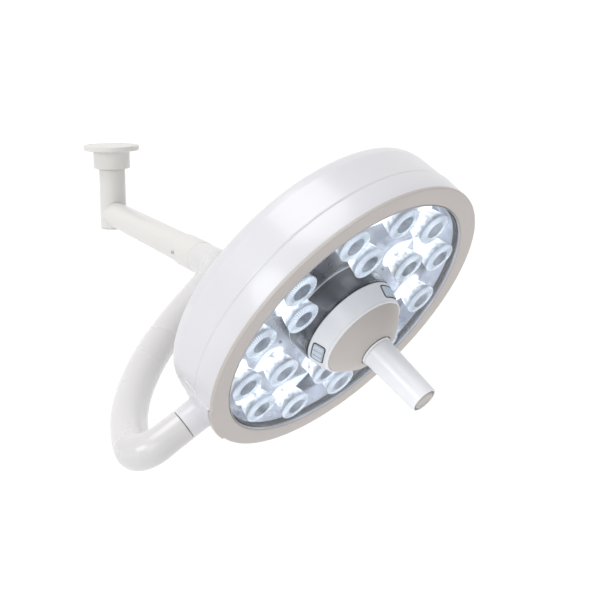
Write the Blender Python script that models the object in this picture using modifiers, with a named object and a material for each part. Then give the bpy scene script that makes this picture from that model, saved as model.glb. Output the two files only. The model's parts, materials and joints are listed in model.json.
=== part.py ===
"""Surgical light head on a single-sided yoke, hung from a horizontal arm and a drop tube.

Frame: metres, +Z up. The origin is the centre of the mounting flange's top face, on the
vertical swivel axis. The arm runs along +X. The head hangs at the arm's far end, rolled
and tilted to its resting pose by the angles below.
"""

import math

import bmesh
import bpy
from mathutils import Matrix, Vector

# ---------------------------------------------------------------- driving dimensions
HEAD_RADIUS = 0.275          # outer radius of the light head
GAP = 0.0004                 # clearance between touching pieces
DROP = 0.175                 # mounting face down to the arm's axis
REACH = 1.296                # swivel axis to the centre of the head, along the arm
ROLL = math.radians(32.6)    # yoke turned about the arm, from level towards the floor
TILT = math.radians(41.3)    # beam turned away from the arm's direction
YOKE_OFFSET = 0.106 * HEAD_RADIUS   # head centre to the arm's axis, away from the pivot

# head, along the beam from the tilt axis
FACE_Z = 0.138 * HEAD_RADIUS        # front face of the bezel
SEAM_Z = FACE_Z - 0.158 * HEAD_RADIUS
REAR_Z = FACE_Z - 0.360 * HEAD_RADIUS
BACK_Z = REAR_Z - 0.030             # top of the domed back
REAR_RADIUS = 0.983 * HEAD_RADIUS
OPENING_RADIUS = 0.8725 * HEAD_RADIUS
WALL = 0.0035                       # moulded and spun walls
LENS_FRONT = FACE_Z - 0.0058
LENS_THICK = 0.003                   # of its seat, which the bezel holds down
PANE_FRONT = FACE_Z - 0.0006         # the pane stands up in the opening, nearly flush
PANE_THICK = 0.0022
LENS_RADIUS = OPENING_RADIUS + 0.0045
SHELF_Z = LENS_FRONT - LENS_THICK - 0.0035

# optical chamber
DISH_FLOOR_Z = FACE_Z - 0.0430
DISH_EDGE_Z = FACE_Z - 0.0145        # top of the dish's turned-up rim
DISH_THICK = 0.0018
CHASSIS_TOP = DISH_FLOOR_Z - DISH_THICK - 0.0040
CHASSIS_THICK = 0.005
FIN_HEIGHT = 0.022
CLUSTERS = 6
CLUSTER_TURN = math.radians(5.0)
OUTER_MODULES = 0.735 * HEAD_RADIUS     # radius of the outer ring of modules
INNER_MODULES = 0.485 * HEAD_RADIUS     # radius of the inner ring of modules
MODULE_SPREAD = math.radians(15.0)      # half angle between a cluster's outer modules
MODULE_RADIUS = 0.0295
MODULE_HEIGHT = 0.0360
MODULE_BASE_R = 0.0200
CUP_RADIUS = 0.0155
CUP_DEPTH = 0.0180
BOARD_THICK = 0.0016

# hub and handle
HUB_BASE = 0.3223 * HEAD_RADIUS
HUB_RIM = 0.2790 * HEAD_RADIUS
HUB_HEIGHT = 0.1334 * HEAD_RADIUS
HUB_WALL = 0.0025
DOME_TOP = FACE_Z + 0.240 * HEAD_RADIUS
HANDLE_BASE_R = 0.0262
HANDLE_TIP_R = 0.0233
HANDLE_START = DOME_TOP + 0.0040
HANDLE_END = FACE_Z + 0.660 * HEAD_RADIUS
CORE_RADIUS = 0.0166
KEYPAD_ANGLES = (math.radians(-17.0), math.radians(-150.0))
KEYPAD_WIDTH = 0.042
KEYPAD_HEIGHT = 0.024
KEYPAD_CORNER = 0.0060

# tilt pivot, measured along the pivot axis from the head's centre
PIVOT_SEAM = 1.1275 * HEAD_RADIUS
PIVOT_RADIUS = 0.0268
TILT_SHAFT_R = 0.0120
TILT_SHAFT_START = 0.2420
BRACKET_IN = 0.2480                 # inner face of the pivot bracket
BRACKET_OUT = 0.2650

# yoke centre line: straight, tight bend, long arc, straight, elbow, straight
YOKE_LEAD = 0.157 * HEAD_RADIUS
BEND_RADIUS = 0.142 * HEAD_RADIUS
BEND_TURN = math.radians(97.7)
ARC_RADIUS = 1.785 * HEAD_RADIUS
ARC_TURN = math.radians(55.0)
ELBOW_RADIUS = 0.301 * HEAD_RADIUS
YOKE_TUBE_R = 0.0312
YOKE_BORE_R = 0.0200
PLUG_R = 0.0186                      # ends that sit inside the yoke tube's bore
ELBOW_TUBE_R = 0.0335

# arm and drop tube
ARM_TUBE_R = 0.0315
ARM_WALL = 0.0040
COLLAR_R = 0.0345
COLLAR_START = REACH - 2.53 * HEAD_RADIUS
COLLAR_END = REACH - 2.13 * HEAD_RADIUS
SPINDLE_R = 0.0170
DROP_TUBE_R = 0.0330
HOUSING_R = 0.0460
HOUSING_LENGTH = 0.058
FLANGE_R = 0.070
FLANGE_THICK = 0.012
BOLT_CIRCLE_R = 0.059                # four mounting screws
BOLT_HOLE_R = 0.0045
BOLT_START = math.radians(48.75)
CABLE_HOLE_R = 0.0080
CABLE_HOLE_PLACE = (-0.0201, 0.0037, 0.0)
SWIVEL_WALL = 0.0066                 # room round the drop tube for its bearing
SPINDLE_BORE_R = 0.0242              # collar's bore round the spindle's bearings
CABLE_R = 0.0060
RUNNING_GAP = 0.0004                 # shaft to bearing, more than the facets' sag

# raised pad round the pivot
PAD_RISE = 0.0032
PAD_WIDTH = 0.112
PAD_LOW = -0.0400

ROUND_LARGE = 44
ROUND_MEDIUM = 28
ROUND_SMALL = 20
ROUND_TINY = 12

PARTS = "surgical_light"
TOOLS = "cutters"


# ---------------------------------------------------------------- scene and materials
def clear_scene():
    for obj in list(bpy.data.objects):
        bpy.data.objects.remove(obj, do_unlink=True)


def make_collection(name):
    collection = bpy.data.collections.new(name)
    bpy.context.scene.collection.children.link(collection)
    return collection


def make_material(name, colour, roughness, metallic=0.0):
    material = bpy.data.materials.new(name)
    material.use_nodes = True
    shader = material.node_tree.nodes["Principled BSDF"]
    shader.inputs["Base Color"].default_value = (*colour, 1.0)
    shader.inputs["Roughness"].default_value = roughness
    shader.inputs["Metallic"].default_value = metallic
    return material


FINISHES = {
    "white_paint": ((0.86, 0.86, 0.88), 0.28, 0.0),
    "arm_paint": ((0.80, 0.79, 0.77), 0.35, 0.0),
    "bezel_grey": ((0.60, 0.57, 0.55), 0.42, 0.0),
    "clear_lens": ((0.92, 0.95, 1.00), 0.05, 0.0),
    "reflector": ((0.62, 0.67, 0.78), 0.18, 0.9),
    "optic": ((0.90, 0.95, 1.00), 0.10, 0.0),
    "led_board": ((0.80, 0.84, 0.88), 0.40, 0.0),
    "black_gloss": ((0.03, 0.03, 0.04), 0.12, 0.0),
    "black_rubber": ((0.04, 0.04, 0.04), 0.80, 0.0),
    "aluminium": ((0.72, 0.73, 0.74), 0.35, 1.0),
    "steel": ((0.60, 0.60, 0.61), 0.25, 1.0),
    "bronze": ((0.70, 0.52, 0.28), 0.35, 1.0),
    "circuit_green": ((0.06, 0.25, 0.14), 0.50, 0.0),
    "handle_white": ((0.84, 0.84, 0.86), 0.35, 0.0),
    "key_blue_grey": ((0.62, 0.68, 0.74), 0.45, 0.0),
    "cable_black": ((0.05, 0.05, 0.05), 0.60, 0.0),
}


# ---------------------------------------------------------------- modelling helpers
class Shop:
    """Holds the collections and materials, and makes pieces under a parent frame."""

    def __init__(self):
        self.parts = make_collection(PARTS)
        self.tools = make_collection(TOOLS)
        self.materials = {name: make_material(name, *look) for name, look in FINISHES.items()}

    def frame(self, name, matrix, parent=None):
        empty = bpy.data.objects.new(name, None)
        self.tools.objects.link(empty)
        empty.hide_render = True
        empty.parent = parent
        empty.matrix_local = matrix
        return empty

    def add(self, name, mesh, finish, parent, local=None):
        obj = bpy.data.objects.new(name, mesh)
        self.parts.objects.link(obj)
        obj.parent = parent
        obj.matrix_local = local or Matrix.Identity(4)
        if not mesh.materials:
            mesh.materials.append(self.materials[finish])
        return obj


def look_along(direction, origin=(0.0, 0.0, 0.0)):
    """A local matrix whose +Z points along the direction."""
    turn = Vector(direction).to_track_quat("Z", "Y").to_matrix().to_4x4()
    return Matrix.Translation(origin) @ turn


def smooth(mesh, angle=35.0):
    mesh.shade_smooth()
    mesh.set_sharp_from_angle(angle=math.radians(angle))


def applied(obj):
    """The object's mesh with its modifiers applied, as a new mesh."""
    bpy.context.view_layer.update()
    graph = bpy.context.evaluated_depsgraph_get()
    mesh = bpy.data.meshes.new_from_object(obj.evaluated_get(graph))
    return mesh


def scratch(mesh):
    obj = bpy.data.objects.new("scratch", mesh)
    bpy.context.scene.collection.objects.link(obj)
    return obj


def turned_mesh(profile, steps):
    """Turns a profile of (radius, height) pairs about Z. It runs down the outer side.

    A profile that starts and ends on the axis makes a solid, any other one is closed.
    """
    on_axis = profile[0][0] == 0.0
    mesh = bpy.data.meshes.new("profile")
    edges = [(i, i + 1) for i in range(len(profile) - 1)]
    if not on_axis:
        edges.append((len(profile) - 1, 0))
    mesh.from_pydata([(r, 0.0, z) for r, z in profile], edges, [])
    obj = scratch(mesh)
    screw = obj.modifiers.new("turn", "SCREW")
    screw.steps = steps
    screw.render_steps = steps
    screw.use_merge_vertices = True
    screw.merge_threshold = 0.00002
    result = applied(obj)
    bpy.data.objects.remove(obj, do_unlink=True)
    result.materials.clear()
    smooth(result)
    return result


def box_mesh(size, bevel=0.0, segments=2):
    mesh = bpy.data.meshes.new("box")
    shape = bmesh.new()
    bmesh.ops.create_cube(shape, size=1.0, matrix=Matrix.Diagonal((*size, 1.0)))
    shape.to_mesh(mesh)
    shape.free()
    if bevel == 0.0:
        return mesh
    obj = scratch(mesh)
    edge = obj.modifiers.new("edges", "BEVEL")
    edge.width = bevel
    edge.segments = segments
    result = applied(obj)
    bpy.data.objects.remove(obj, do_unlink=True)
    return result


def outline_mesh(points, thickness, fillet=0.0):
    """A flat outline in XY, extruded to both sides of z = 0."""
    curve = bpy.data.curves.new("outline", "CURVE")
    curve.dimensions = "2D"
    curve.fill_mode = "BOTH"
    curve.extrude = thickness / 2
    spline = curve.splines.new("POLY")
    spline.points.add(len(points) - 1)
    for point, (x, y) in zip(spline.points, points):
        point.co = (x, y, 0.0, 1.0)
    spline.use_cyclic_u = True
    obj = scratch(curve)
    mesh = welded(obj)
    if fillet > 0.0:
        holder = scratch(mesh)
        edge = holder.modifiers.new("edges", "BEVEL")
        edge.width = fillet
        edge.segments = 2
        mesh = applied(holder)
        bpy.data.objects.remove(holder, do_unlink=True)
    return mesh


def welded(curve_obj):
    """A curve object's mesh with its caps joined on; the curve object is removed."""
    mesh = applied(curve_obj)
    shape = bmesh.new()
    shape.from_mesh(mesh)
    bmesh.ops.remove_doubles(shape, verts=shape.verts, dist=0.00001)
    bmesh.ops.recalc_face_normals(shape, faces=shape.faces)
    shape.to_mesh(mesh)
    shape.free()
    bpy.data.objects.remove(curve_obj, do_unlink=True)
    mesh.materials.clear()
    return mesh


def tube_mesh(points, radii, resolution=6):
    """A round tube along points; radii is one radius or one for each point."""
    curve = bpy.data.curves.new("path", "CURVE")
    curve.dimensions = "3D"
    curve.bevel_depth = 1.0
    curve.bevel_resolution = resolution
    curve.use_fill_caps = True
    curve.resolution_u = 1
    spline = curve.splines.new("POLY")
    spline.points.add(len(points) - 1)
    for i, (point, place) in enumerate(zip(spline.points, points)):
        point.co = (*place, 1.0)
        point.radius = radii if isinstance(radii, float) else radii[i]
    obj = scratch(curve)
    mesh = welded(obj)
    smooth(mesh)
    return mesh


def moved(mesh, matrix):
    mesh.transform(matrix)
    return mesh


def combined(operation, mesh, others):
    """Boolean of a mesh with others, all in the same coordinates."""
    base = scratch(mesh)
    tools = [scratch(other) for other in others]
    for tool in tools:
        step = base.modifiers.new(operation.lower(), "BOOLEAN")
        step.operation = operation
        step.object = tool
        step.solver = "EXACT"
        tool.hide_render = True
        tool.display_type = "WIRE"
    result = applied(base)
    for obj in [base, *tools]:
        bpy.data.objects.remove(obj, do_unlink=True)
    result.materials.clear()
    smooth(result)
    return result


def cut(mesh, *others):
    return combined("DIFFERENCE", mesh, others)


def joined(mesh, *others):
    return combined("UNION", mesh, others)


def shared(mesh, *others):
    return combined("INTERSECT", mesh, others)


def ring(outer, inner, top, bottom, steps, chamfer=0.0):
    """A turned ring with an optional chamfer on its outer edges."""
    if chamfer == 0.0:
        profile = [(outer, top), (outer, bottom), (inner, bottom), (inner, top)]
    else:
        profile = [
            (outer - chamfer, top),
            (outer, top - chamfer),
            (outer, bottom + chamfer),
            (outer - chamfer, bottom),
            (inner, bottom),
            (inner, top),
        ]
    return turned_mesh(profile, steps)


def rod(radius, top, bottom, steps, chamfer=0.0):
    """A turned solid rod along Z."""
    if chamfer == 0.0:
        profile = [(0.0, top), (radius, top), (radius, bottom), (0.0, bottom)]
    else:
        profile = [
            (0.0, top),
            (radius - chamfer, top),
            (radius, top - chamfer),
            (radius, bottom + chamfer),
            (radius - chamfer, bottom),
            (0.0, bottom),
        ]
    return turned_mesh(profile, steps)


def arc_points(centre, radius, start, end, count):
    """Points (x, y) on an arc, ends included, angles in radians."""
    angles = [start + (end - start) * i / (count - 1) for i in range(count)]
    return [(centre[0] + radius * math.cos(a), centre[1] + radius * math.sin(a)) for a in angles]


def socket_screw_mesh(head_radius, head_height, shank_radius, shank_length):
    """A cap screw with a hexagon socket, head up, seated at z = 0."""
    body = turned_mesh(
        [
            (0.0, head_height),
            (head_radius * 0.9, head_height),
            (head_radius, head_height * 0.8),
            (head_radius, 0.0),
            (shank_radius, 0.0),
            (shank_radius, -shank_length),
            (0.0, -shank_length),
        ],
        16,
    )
    socket = rod(head_radius * 0.5, head_height * 1.5, head_height * 0.4, 6)
    return cut(body, socket)


# ---------------------------------------------------------------- mount and arm
def build_mount(shop):
    """Fixed flange and swivel housing that the drop tube turns in."""
    base = shop.frame("mount_frame", Matrix.Identity(4))
    flange = turned_mesh(
        [
            (0.0, 0.0),
            (FLANGE_R - 0.002, 0.0),
            (FLANGE_R, -0.002),
            (FLANGE_R, -FLANGE_THICK),
            (HOUSING_R + 0.004, -FLANGE_THICK),
            (HOUSING_R, -FLANGE_THICK - 0.004),
            (HOUSING_R, -HOUSING_LENGTH + 0.002),
            (HOUSING_R - 0.002, -HOUSING_LENGTH),
            (DROP_TUBE_R + SWIVEL_WALL, -HOUSING_LENGTH),
            (DROP_TUBE_R + SWIVEL_WALL, -FLANGE_THICK - 0.002),
            (0.0, -FLANGE_THICK - 0.002),
        ],
        ROUND_MEDIUM,
    )
    holes = []
    for i in range(4):
        angle = BOLT_START + i * math.pi / 2.0
        hole = rod(BOLT_HOLE_R, 0.005, -FLANGE_THICK - 0.010, 16)
        place = (BOLT_CIRCLE_R * math.cos(angle), BOLT_CIRCLE_R * math.sin(angle), 0.0)
        holes.append(moved(hole, Matrix.Translation(place)))
    cable_hole = rod(CABLE_HOLE_R, 0.005, -FLANGE_THICK - 0.010, 16)
    holes.append(moved(cable_hole, Matrix.Translation(CABLE_HOLE_PLACE)))
    shop.add("mounting_flange", cut(flange, *holes), "arm_paint", base)
    outer = DROP_TUBE_R + SWIVEL_WALL - GAP
    inner = DROP_TUBE_R + RUNNING_GAP
    top = -FLANGE_THICK - 0.006
    bearing = ring(outer, inner, top, 0.0010 - HOUSING_LENGTH, ROUND_MEDIUM)
    shop.add("swivel_bearing", bearing, "bronze", base)


def build_arm(shop):
    """Drop tube, horizontal arm tube and the collar that holds the yoke's spindle."""
    arm = shop.frame("swivel_axis", Matrix.Identity(4))
    axis = Matrix.Translation((0.0, 0.0, -DROP))
    along = axis @ look_along((1.0, 0.0, 0.0))
    drop_top = -FLANGE_THICK - 0.0035
    drop_low = -DROP - ARM_TUBE_R - 0.004
    drop = ring(DROP_TUBE_R, DROP_TUBE_R - ARM_WALL, drop_top, drop_low, ROUND_MEDIUM)
    cable_hole = moved(rod(0.0180, 0.05, 0.0, ROUND_TINY), along)
    shop.add("drop_tube", cut(drop, cable_hole), "arm_paint", arm)
    cap = turned_mesh(
        [
            (0.0, drop_low + 0.010),
            (DROP_TUBE_R - ARM_WALL - GAP, drop_low + 0.010),
            (DROP_TUBE_R - ARM_WALL - GAP, drop_low - GAP),
            (DROP_TUBE_R, drop_low - GAP),
            (DROP_TUBE_R - 0.001, drop_low - 0.0025),
            (DROP_TUBE_R * 0.7, drop_low - 0.0045),
            (0.0, drop_low - 0.0055),
        ],
        ROUND_MEDIUM,
    )
    shop.add("drop_tube_end_cap", cap, "arm_paint", arm)
    tube = ring(ARM_TUBE_R, ARM_TUBE_R - ARM_WALL, COLLAR_START + 0.030, 0.0, ROUND_MEDIUM)
    cope = rod(DROP_TUBE_R + GAP, 0.0, -2.0 * DROP, ROUND_MEDIUM)
    shop.add("arm_tube", cut(moved(tube, along), cope), "arm_paint", arm)
    collar = turned_mesh(
        [
            (COLLAR_R - 0.0015, COLLAR_END),
            (COLLAR_R, COLLAR_END - 0.0015),
            (COLLAR_R, COLLAR_START + 0.004),
            (COLLAR_R - 0.0020, COLLAR_START),
            (ARM_TUBE_R + GAP, COLLAR_START),
            (ARM_TUBE_R + GAP, COLLAR_START + 0.0304),
            (SPINDLE_BORE_R, COLLAR_START + 0.0304),
            (SPINDLE_BORE_R, COLLAR_END),
        ],
        ROUND_MEDIUM,
    )
    shop.add("arm_collar", collar, "arm_paint", arm, along)
    outer = SPINDLE_BORE_R - GAP
    inner = SPINDLE_R + RUNNING_GAP
    bearing = ring(outer, inner, COLLAR_END - 0.0335, COLLAR_START + 0.042, ROUND_SMALL)
    shop.add("roll_bearing", bearing, "bronze", arm, along)
    brake = ring(outer, inner, COLLAR_END - 0.0040, COLLAR_END - 0.0330, ROUND_SMALL)
    shop.add("roll_brake_ring", brake, "black_rubber", arm, along)
    cable = tube_mesh([(0.0, 0.0, drop_top - 0.005), (0.0, 0.0, -DROP + 0.04),
                       (0.012, 0.0, -DROP + 0.012), (0.04, 0.0, -DROP),
                       (COLLAR_START - 0.02, 0.0, -DROP)], CABLE_R, 2)
    shop.add("arm_cable", cable, "cable_black", arm)
    screw = socket_screw_mesh(0.0042, 0.003, 0.0022, 0.006)
    for side, sign in (("left", 1.0), ("right", -1.0)):
        seat = (COLLAR_START + 0.015, sign * (COLLAR_R + GAP), -DROP)
        local = look_along((0.0, sign, 0.0), seat)
        hole = moved(rod(0.0026, 0.010, -0.008, 16), local)
        for name in ("arm_collar", "arm_tube"):
            bore_through(name, hole.copy())
        shop.add(f"collar_screw_{side}", screw, "steel", arm, local)
    return arm


def bore_through(name, cutter):
    """Cuts a world-space cutter out of a piece that is already placed."""
    obj = bpy.data.objects[name]
    bpy.context.view_layer.update()
    inverse = obj.matrix_world.inverted()
    old = obj.data
    obj.data = cut(old.copy(), moved(cutter, inverse))
    for material in old.materials:
        obj.data.materials.append(material)


# ---------------------------------------------------------------- yoke
def yoke_path():
    """Centre line from the tilt pivot to the arm, as (x along the pivot, y towards the arm).

    The straight before the elbow is as long as it takes to end on the arm's axis.
    """
    points = []
    place = Vector((PIVOT_SEAM, 0.0))
    heading = 0.0

    def straight(length, count):
        nonlocal place
        step = Vector((math.cos(heading), math.sin(heading))) * (length / count)
        for _ in range(count):
            points.append(place.copy())
            place = place + step

    def bend(radius, turn, count):
        nonlocal place, heading
        side = math.copysign(1.0, turn)
        step = 2.0 * radius * math.sin(abs(turn) / count / 2.0)
        for _ in range(count):
            points.append(place.copy())
            heading_mid = heading + side * abs(turn) / count / 2.0
            place = place + Vector((math.cos(heading_mid), math.sin(heading_mid))) * step
            heading = heading + side * abs(turn) / count

    straight(YOKE_LEAD, 2)
    bend(BEND_RADIUS, BEND_TURN, 9)
    bend(ARC_RADIUS, ARC_TURN, 8)
    elbow_shift = -ELBOW_RADIUS * (1.0 - math.sin(heading))
    straight((YOKE_OFFSET - elbow_shift - place.x) / math.cos(heading), 2)
    bend(ELBOW_RADIUS, math.pi / 2.0 - heading, 6)
    straight(REACH - COLLAR_END - GAP - place.y, 2)
    points.append(place.copy())
    return points


def build_yoke(shop, arm_axis):
    """The yoke rolls about the arm's axis. Its local x is the pivot direction, y the arm's."""
    pivot = Vector((0.0, -math.cos(ROLL), -math.sin(ROLL)))
    towards_arm = Vector((-1.0, 0.0, 0.0))
    across = pivot.cross(towards_arm)
    turn = Matrix((pivot, towards_arm, across)).transposed().to_4x4()
    centre = Vector((REACH, 0.0, -DROP))
    yoke = shop.frame("roll_axis", Matrix.Translation(centre) @ turn, arm_axis)

    line = yoke_path()
    flat = [(p.x - YOKE_OFFSET, p.y, 0.0) for p in line]
    count = len(flat)
    radii = []
    for i in range(count):
        grow = min(1.0, i / 11.0)
        swell = max(0.0, (i - 19.0) / (count - 20.0))
        radius = PIVOT_RADIUS + (YOKE_TUBE_R - PIVOT_RADIUS) * grow * grow * (3.0 - 2.0 * grow)
        radii.append(radius + (ELBOW_TUBE_R - YOKE_TUBE_R) * swell)
    outer = tube_mesh(flat, radii, 6)
    first = Vector(flat[0]) - Vector((0.01, 0.0, 0.0))
    last = Vector(flat[-1]) + Vector((0.0, 0.01, 0.0))
    inner = tube_mesh([first, *flat[2::2], last], YOKE_BORE_R, 3)
    shop.add("yoke_tube", cut(outer, inner), "white_paint", yoke)

    end = flat[-1]
    along = look_along((0.0, 1.0, 0.0), (end[0], 0.0, 0.0))
    spindle = turned_mesh(
        [
            (SPINDLE_R - 0.001, end[1] + 0.0780),
            (SPINDLE_R, end[1] + 0.0770),
            (SPINDLE_R, end[1] + 0.0010),
            (PLUG_R, end[1] + 0.0010),
            (PLUG_R, end[1] - 0.0350),
            (0.0080, end[1] - 0.0350),
            (0.0080, end[1] + 0.0780),
        ],
        ROUND_SMALL,
    )
    shop.add("roll_spindle", spindle, "steel", yoke, along)
    clip = ring(SPINDLE_R + 0.0045, SPINDLE_R + 0.0003, end[1] + 0.0760, end[1] + 0.0735, ROUND_SMALL)
    shop.add("roll_retaining_ring", clip, "steel", yoke, along)
    cable = tube_mesh([flat[3], *flat[5:-3:2]], CABLE_R, 2)
    shop.add("yoke_cable", cable, "cable_black", yoke)

    pivot_along = look_along((1.0, 0.0, 0.0), (-YOKE_OFFSET, 0.0, 0.0))
    seam = PIVOT_SEAM
    shaft = turned_mesh(
        [
            (0.0110, seam + 0.0350),
            (PLUG_R, seam + 0.0350),
            (PLUG_R, seam + 0.0010),
            (TILT_SHAFT_R, seam - 0.0010),
            (TILT_SHAFT_R, TILT_SHAFT_START + 0.001),
            (TILT_SHAFT_R - 0.001, TILT_SHAFT_START),
            (0.0045, TILT_SHAFT_START),
            (0.0045, seam + 0.0250),
            (0.0110, seam + 0.0260),
        ],
        ROUND_SMALL,
    )
    shop.add("tilt_shaft", shaft, "steel", yoke, pivot_along)
    nut = rod(0.0157, TILT_SHAFT_START + 0.0042, TILT_SHAFT_START + 0.0004, 6, 0.0008)
    nut = cut(nut, rod(TILT_SHAFT_R + 0.0003, TILT_SHAFT_START + 0.02, TILT_SHAFT_START - 0.01, ROUND_SMALL))
    shop.add("tilt_shaft_nut", nut, "steel", yoke, pivot_along)
    washer = ring(0.0157, TILT_SHAFT_R + 0.0003, BRACKET_IN - GAP, TILT_SHAFT_START + 0.0046, ROUND_SMALL)
    shop.add("tilt_spring_washer", washer, "steel", yoke, pivot_along)
    return yoke


# ---------------------------------------------------------------- head shells
def wall_radius(z):
    """Outer radius of the drum's side wall at a height."""
    if z >= SEAM_Z:
        return HEAD_RADIUS * (1.0 - 0.004 * (FACE_Z - z) / (FACE_Z - SEAM_Z))
    share = (SEAM_Z - z) / (SEAM_Z - REAR_Z)
    return HEAD_RADIUS * 0.990 + (REAR_RADIUS - HEAD_RADIUS * 0.990) * share


def pivot_hole(radius):
    """A cutter along the pivot axis, out through the drum's wall."""
    return moved(rod(radius, 0.320, 0.2640, ROUND_SMALL), look_along((1.0, 0.0, 0.0)))


def build_shells(shop, head):
    corner = 0.018
    inner_corner = corner - WALL
    outside = [(wall_radius(SEAM_Z) - 0.0006, SEAM_Z - GAP), (wall_radius(REAR_Z), REAR_Z)]
    centre = (REAR_RADIUS - corner, REAR_Z)
    shoulder = arc_points(centre, corner, 0.0, -math.radians(80.0), 4)
    outside += shoulder[1:]
    dome_edge = shoulder[-1]
    outside += [
        (dome_edge[0] * 0.62, BACK_Z + 0.0035),
        (dome_edge[0] * 0.30, BACK_Z + 0.0006),
        (0.0, BACK_Z),
    ]
    inside = [
        (0.0, BACK_Z + WALL),
        (dome_edge[0] * 0.30, BACK_Z + 0.0006 + WALL),
        (dome_edge[0] * 0.62, BACK_Z + 0.0035 + WALL),
    ]
    inside += list(reversed(arc_points(centre, inner_corner, 0.0, -math.radians(80.0), 3)))
    inside += [(wall_radius(SEAM_Z) - WALL, SEAM_Z - GAP)]
    shell = turned_mesh(inside + outside, ROUND_LARGE)
    shop.add("rear_shell", cut(shell, pivot_hole(PIVOT_RADIUS + 0.0008)), "white_paint", head)
    ring_inner = HEAD_RADIUS - 0.0045
    top = FACE_Z - 0.0058
    front = turned_mesh(
        [
            (HEAD_RADIUS - 0.0003, top),
            (wall_radius(SEAM_Z), SEAM_Z + 0.0004),
            (wall_radius(SEAM_Z) - 0.0010, SEAM_Z + GAP - 0.0002),
            (ring_inner, SEAM_Z + GAP - 0.0002),
            (ring_inner, SHELF_Z - 0.0025),
            (OPENING_RADIUS + 0.0008, SHELF_Z - 0.0025),
            (OPENING_RADIUS + 0.0008, SHELF_Z),
            (LENS_RADIUS + 0.0006, SHELF_Z),
            (LENS_RADIUS + 0.0006, top),
        ],
        ROUND_LARGE,
    )
    shop.add("front_ring", cut(front, pivot_hole(PIVOT_RADIUS + 0.0008)), "white_paint", head)
    bezel = turned_mesh(
        [
            (HEAD_RADIUS - 0.0022, FACE_Z),
            (HEAD_RADIUS, FACE_Z - 0.0020),
            (HEAD_RADIUS, FACE_Z - 0.0054),
            (OPENING_RADIUS, FACE_Z - 0.0054),
            (OPENING_RADIUS, FACE_Z - 0.0044),
            (OPENING_RADIUS + 0.0030, FACE_Z),
        ],
        ROUND_LARGE,
    )
    low = FACE_Z - 0.0052
    tab = ring(HEAD_RADIUS + PAD_RISE, HEAD_RADIUS - 0.0040, FACE_Z - 0.0022, low, ROUND_LARGE)
    window = box_mesh((0.10, PAD_WIDTH, 0.02))
    window = moved(window, Matrix.Translation((HEAD_RADIUS, 0.0, FACE_Z)))
    bezel = joined(bezel, shared(tab, window))
    shop.add("bezel_ring", bezel, "bezel_grey", head)


def build_pivot(shop, head):
    """Collar and pad on the rim, and the bracket and bushes that carry the tilt shaft."""
    along = look_along((1.0, 0.0, 0.0))
    collar = moved(rod(PIVOT_RADIUS, PIVOT_SEAM - 0.0012, 0.2676, ROUND_SMALL, 0.0008), along)
    pad_top = FACE_Z - 0.0064
    pad = ring(HEAD_RADIUS + PAD_RISE, HEAD_RADIUS + GAP, pad_top, PAD_LOW, ROUND_LARGE)
    window = box_mesh((0.10, PAD_WIDTH, pad_top - PAD_LOW - 0.0002), 0.0010, 1)
    window = moved(window, Matrix.Translation((HEAD_RADIUS, 0.0, (pad_top + PAD_LOW) / 2.0)))
    piece = joined(shared(pad, window), collar)
    bore = moved(rod(TILT_SHAFT_R + 0.0040, 0.35, 0.20, ROUND_SMALL), along)
    shop.add("pivot_collar", cut(piece, bore), "white_paint", head)

    block = box_mesh((BRACKET_OUT - BRACKET_IN, 0.076, 0.044), 0.0015, 1)
    block = moved(block, Matrix.Translation(((BRACKET_IN + BRACKET_OUT) / 2.0, 0.0, -0.0030)))
    foot = box_mesh((0.060, 0.070, 0.006), 0.0008, 1)
    foot_z = CHASSIS_TOP - CHASSIS_THICK - GAP - 0.003
    foot = moved(foot, Matrix.Translation((0.230, 0.0, foot_z)))
    bore = moved(rod(TILT_SHAFT_R + 0.0040, 0.35, 0.15, ROUND_SMALL), along)
    shop.add("tilt_bracket", cut(joined(block, foot), bore), "aluminium", head)
    inner = BRACKET_IN + GAP
    bush = ring(TILT_SHAFT_R + 0.0037, TILT_SHAFT_R + 0.0004, PIVOT_SEAM - 0.003, inner, ROUND_SMALL)
    shop.add("tilt_bush", bush, "bronze", head, along)
    inner = BRACKET_OUT + GAP
    disc = ring(0.0230, TILT_SHAFT_R + 0.0044, inner + 0.0017, inner, ROUND_SMALL)
    shop.add("tilt_friction_disc", disc, "black_rubber", head, along)


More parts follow.
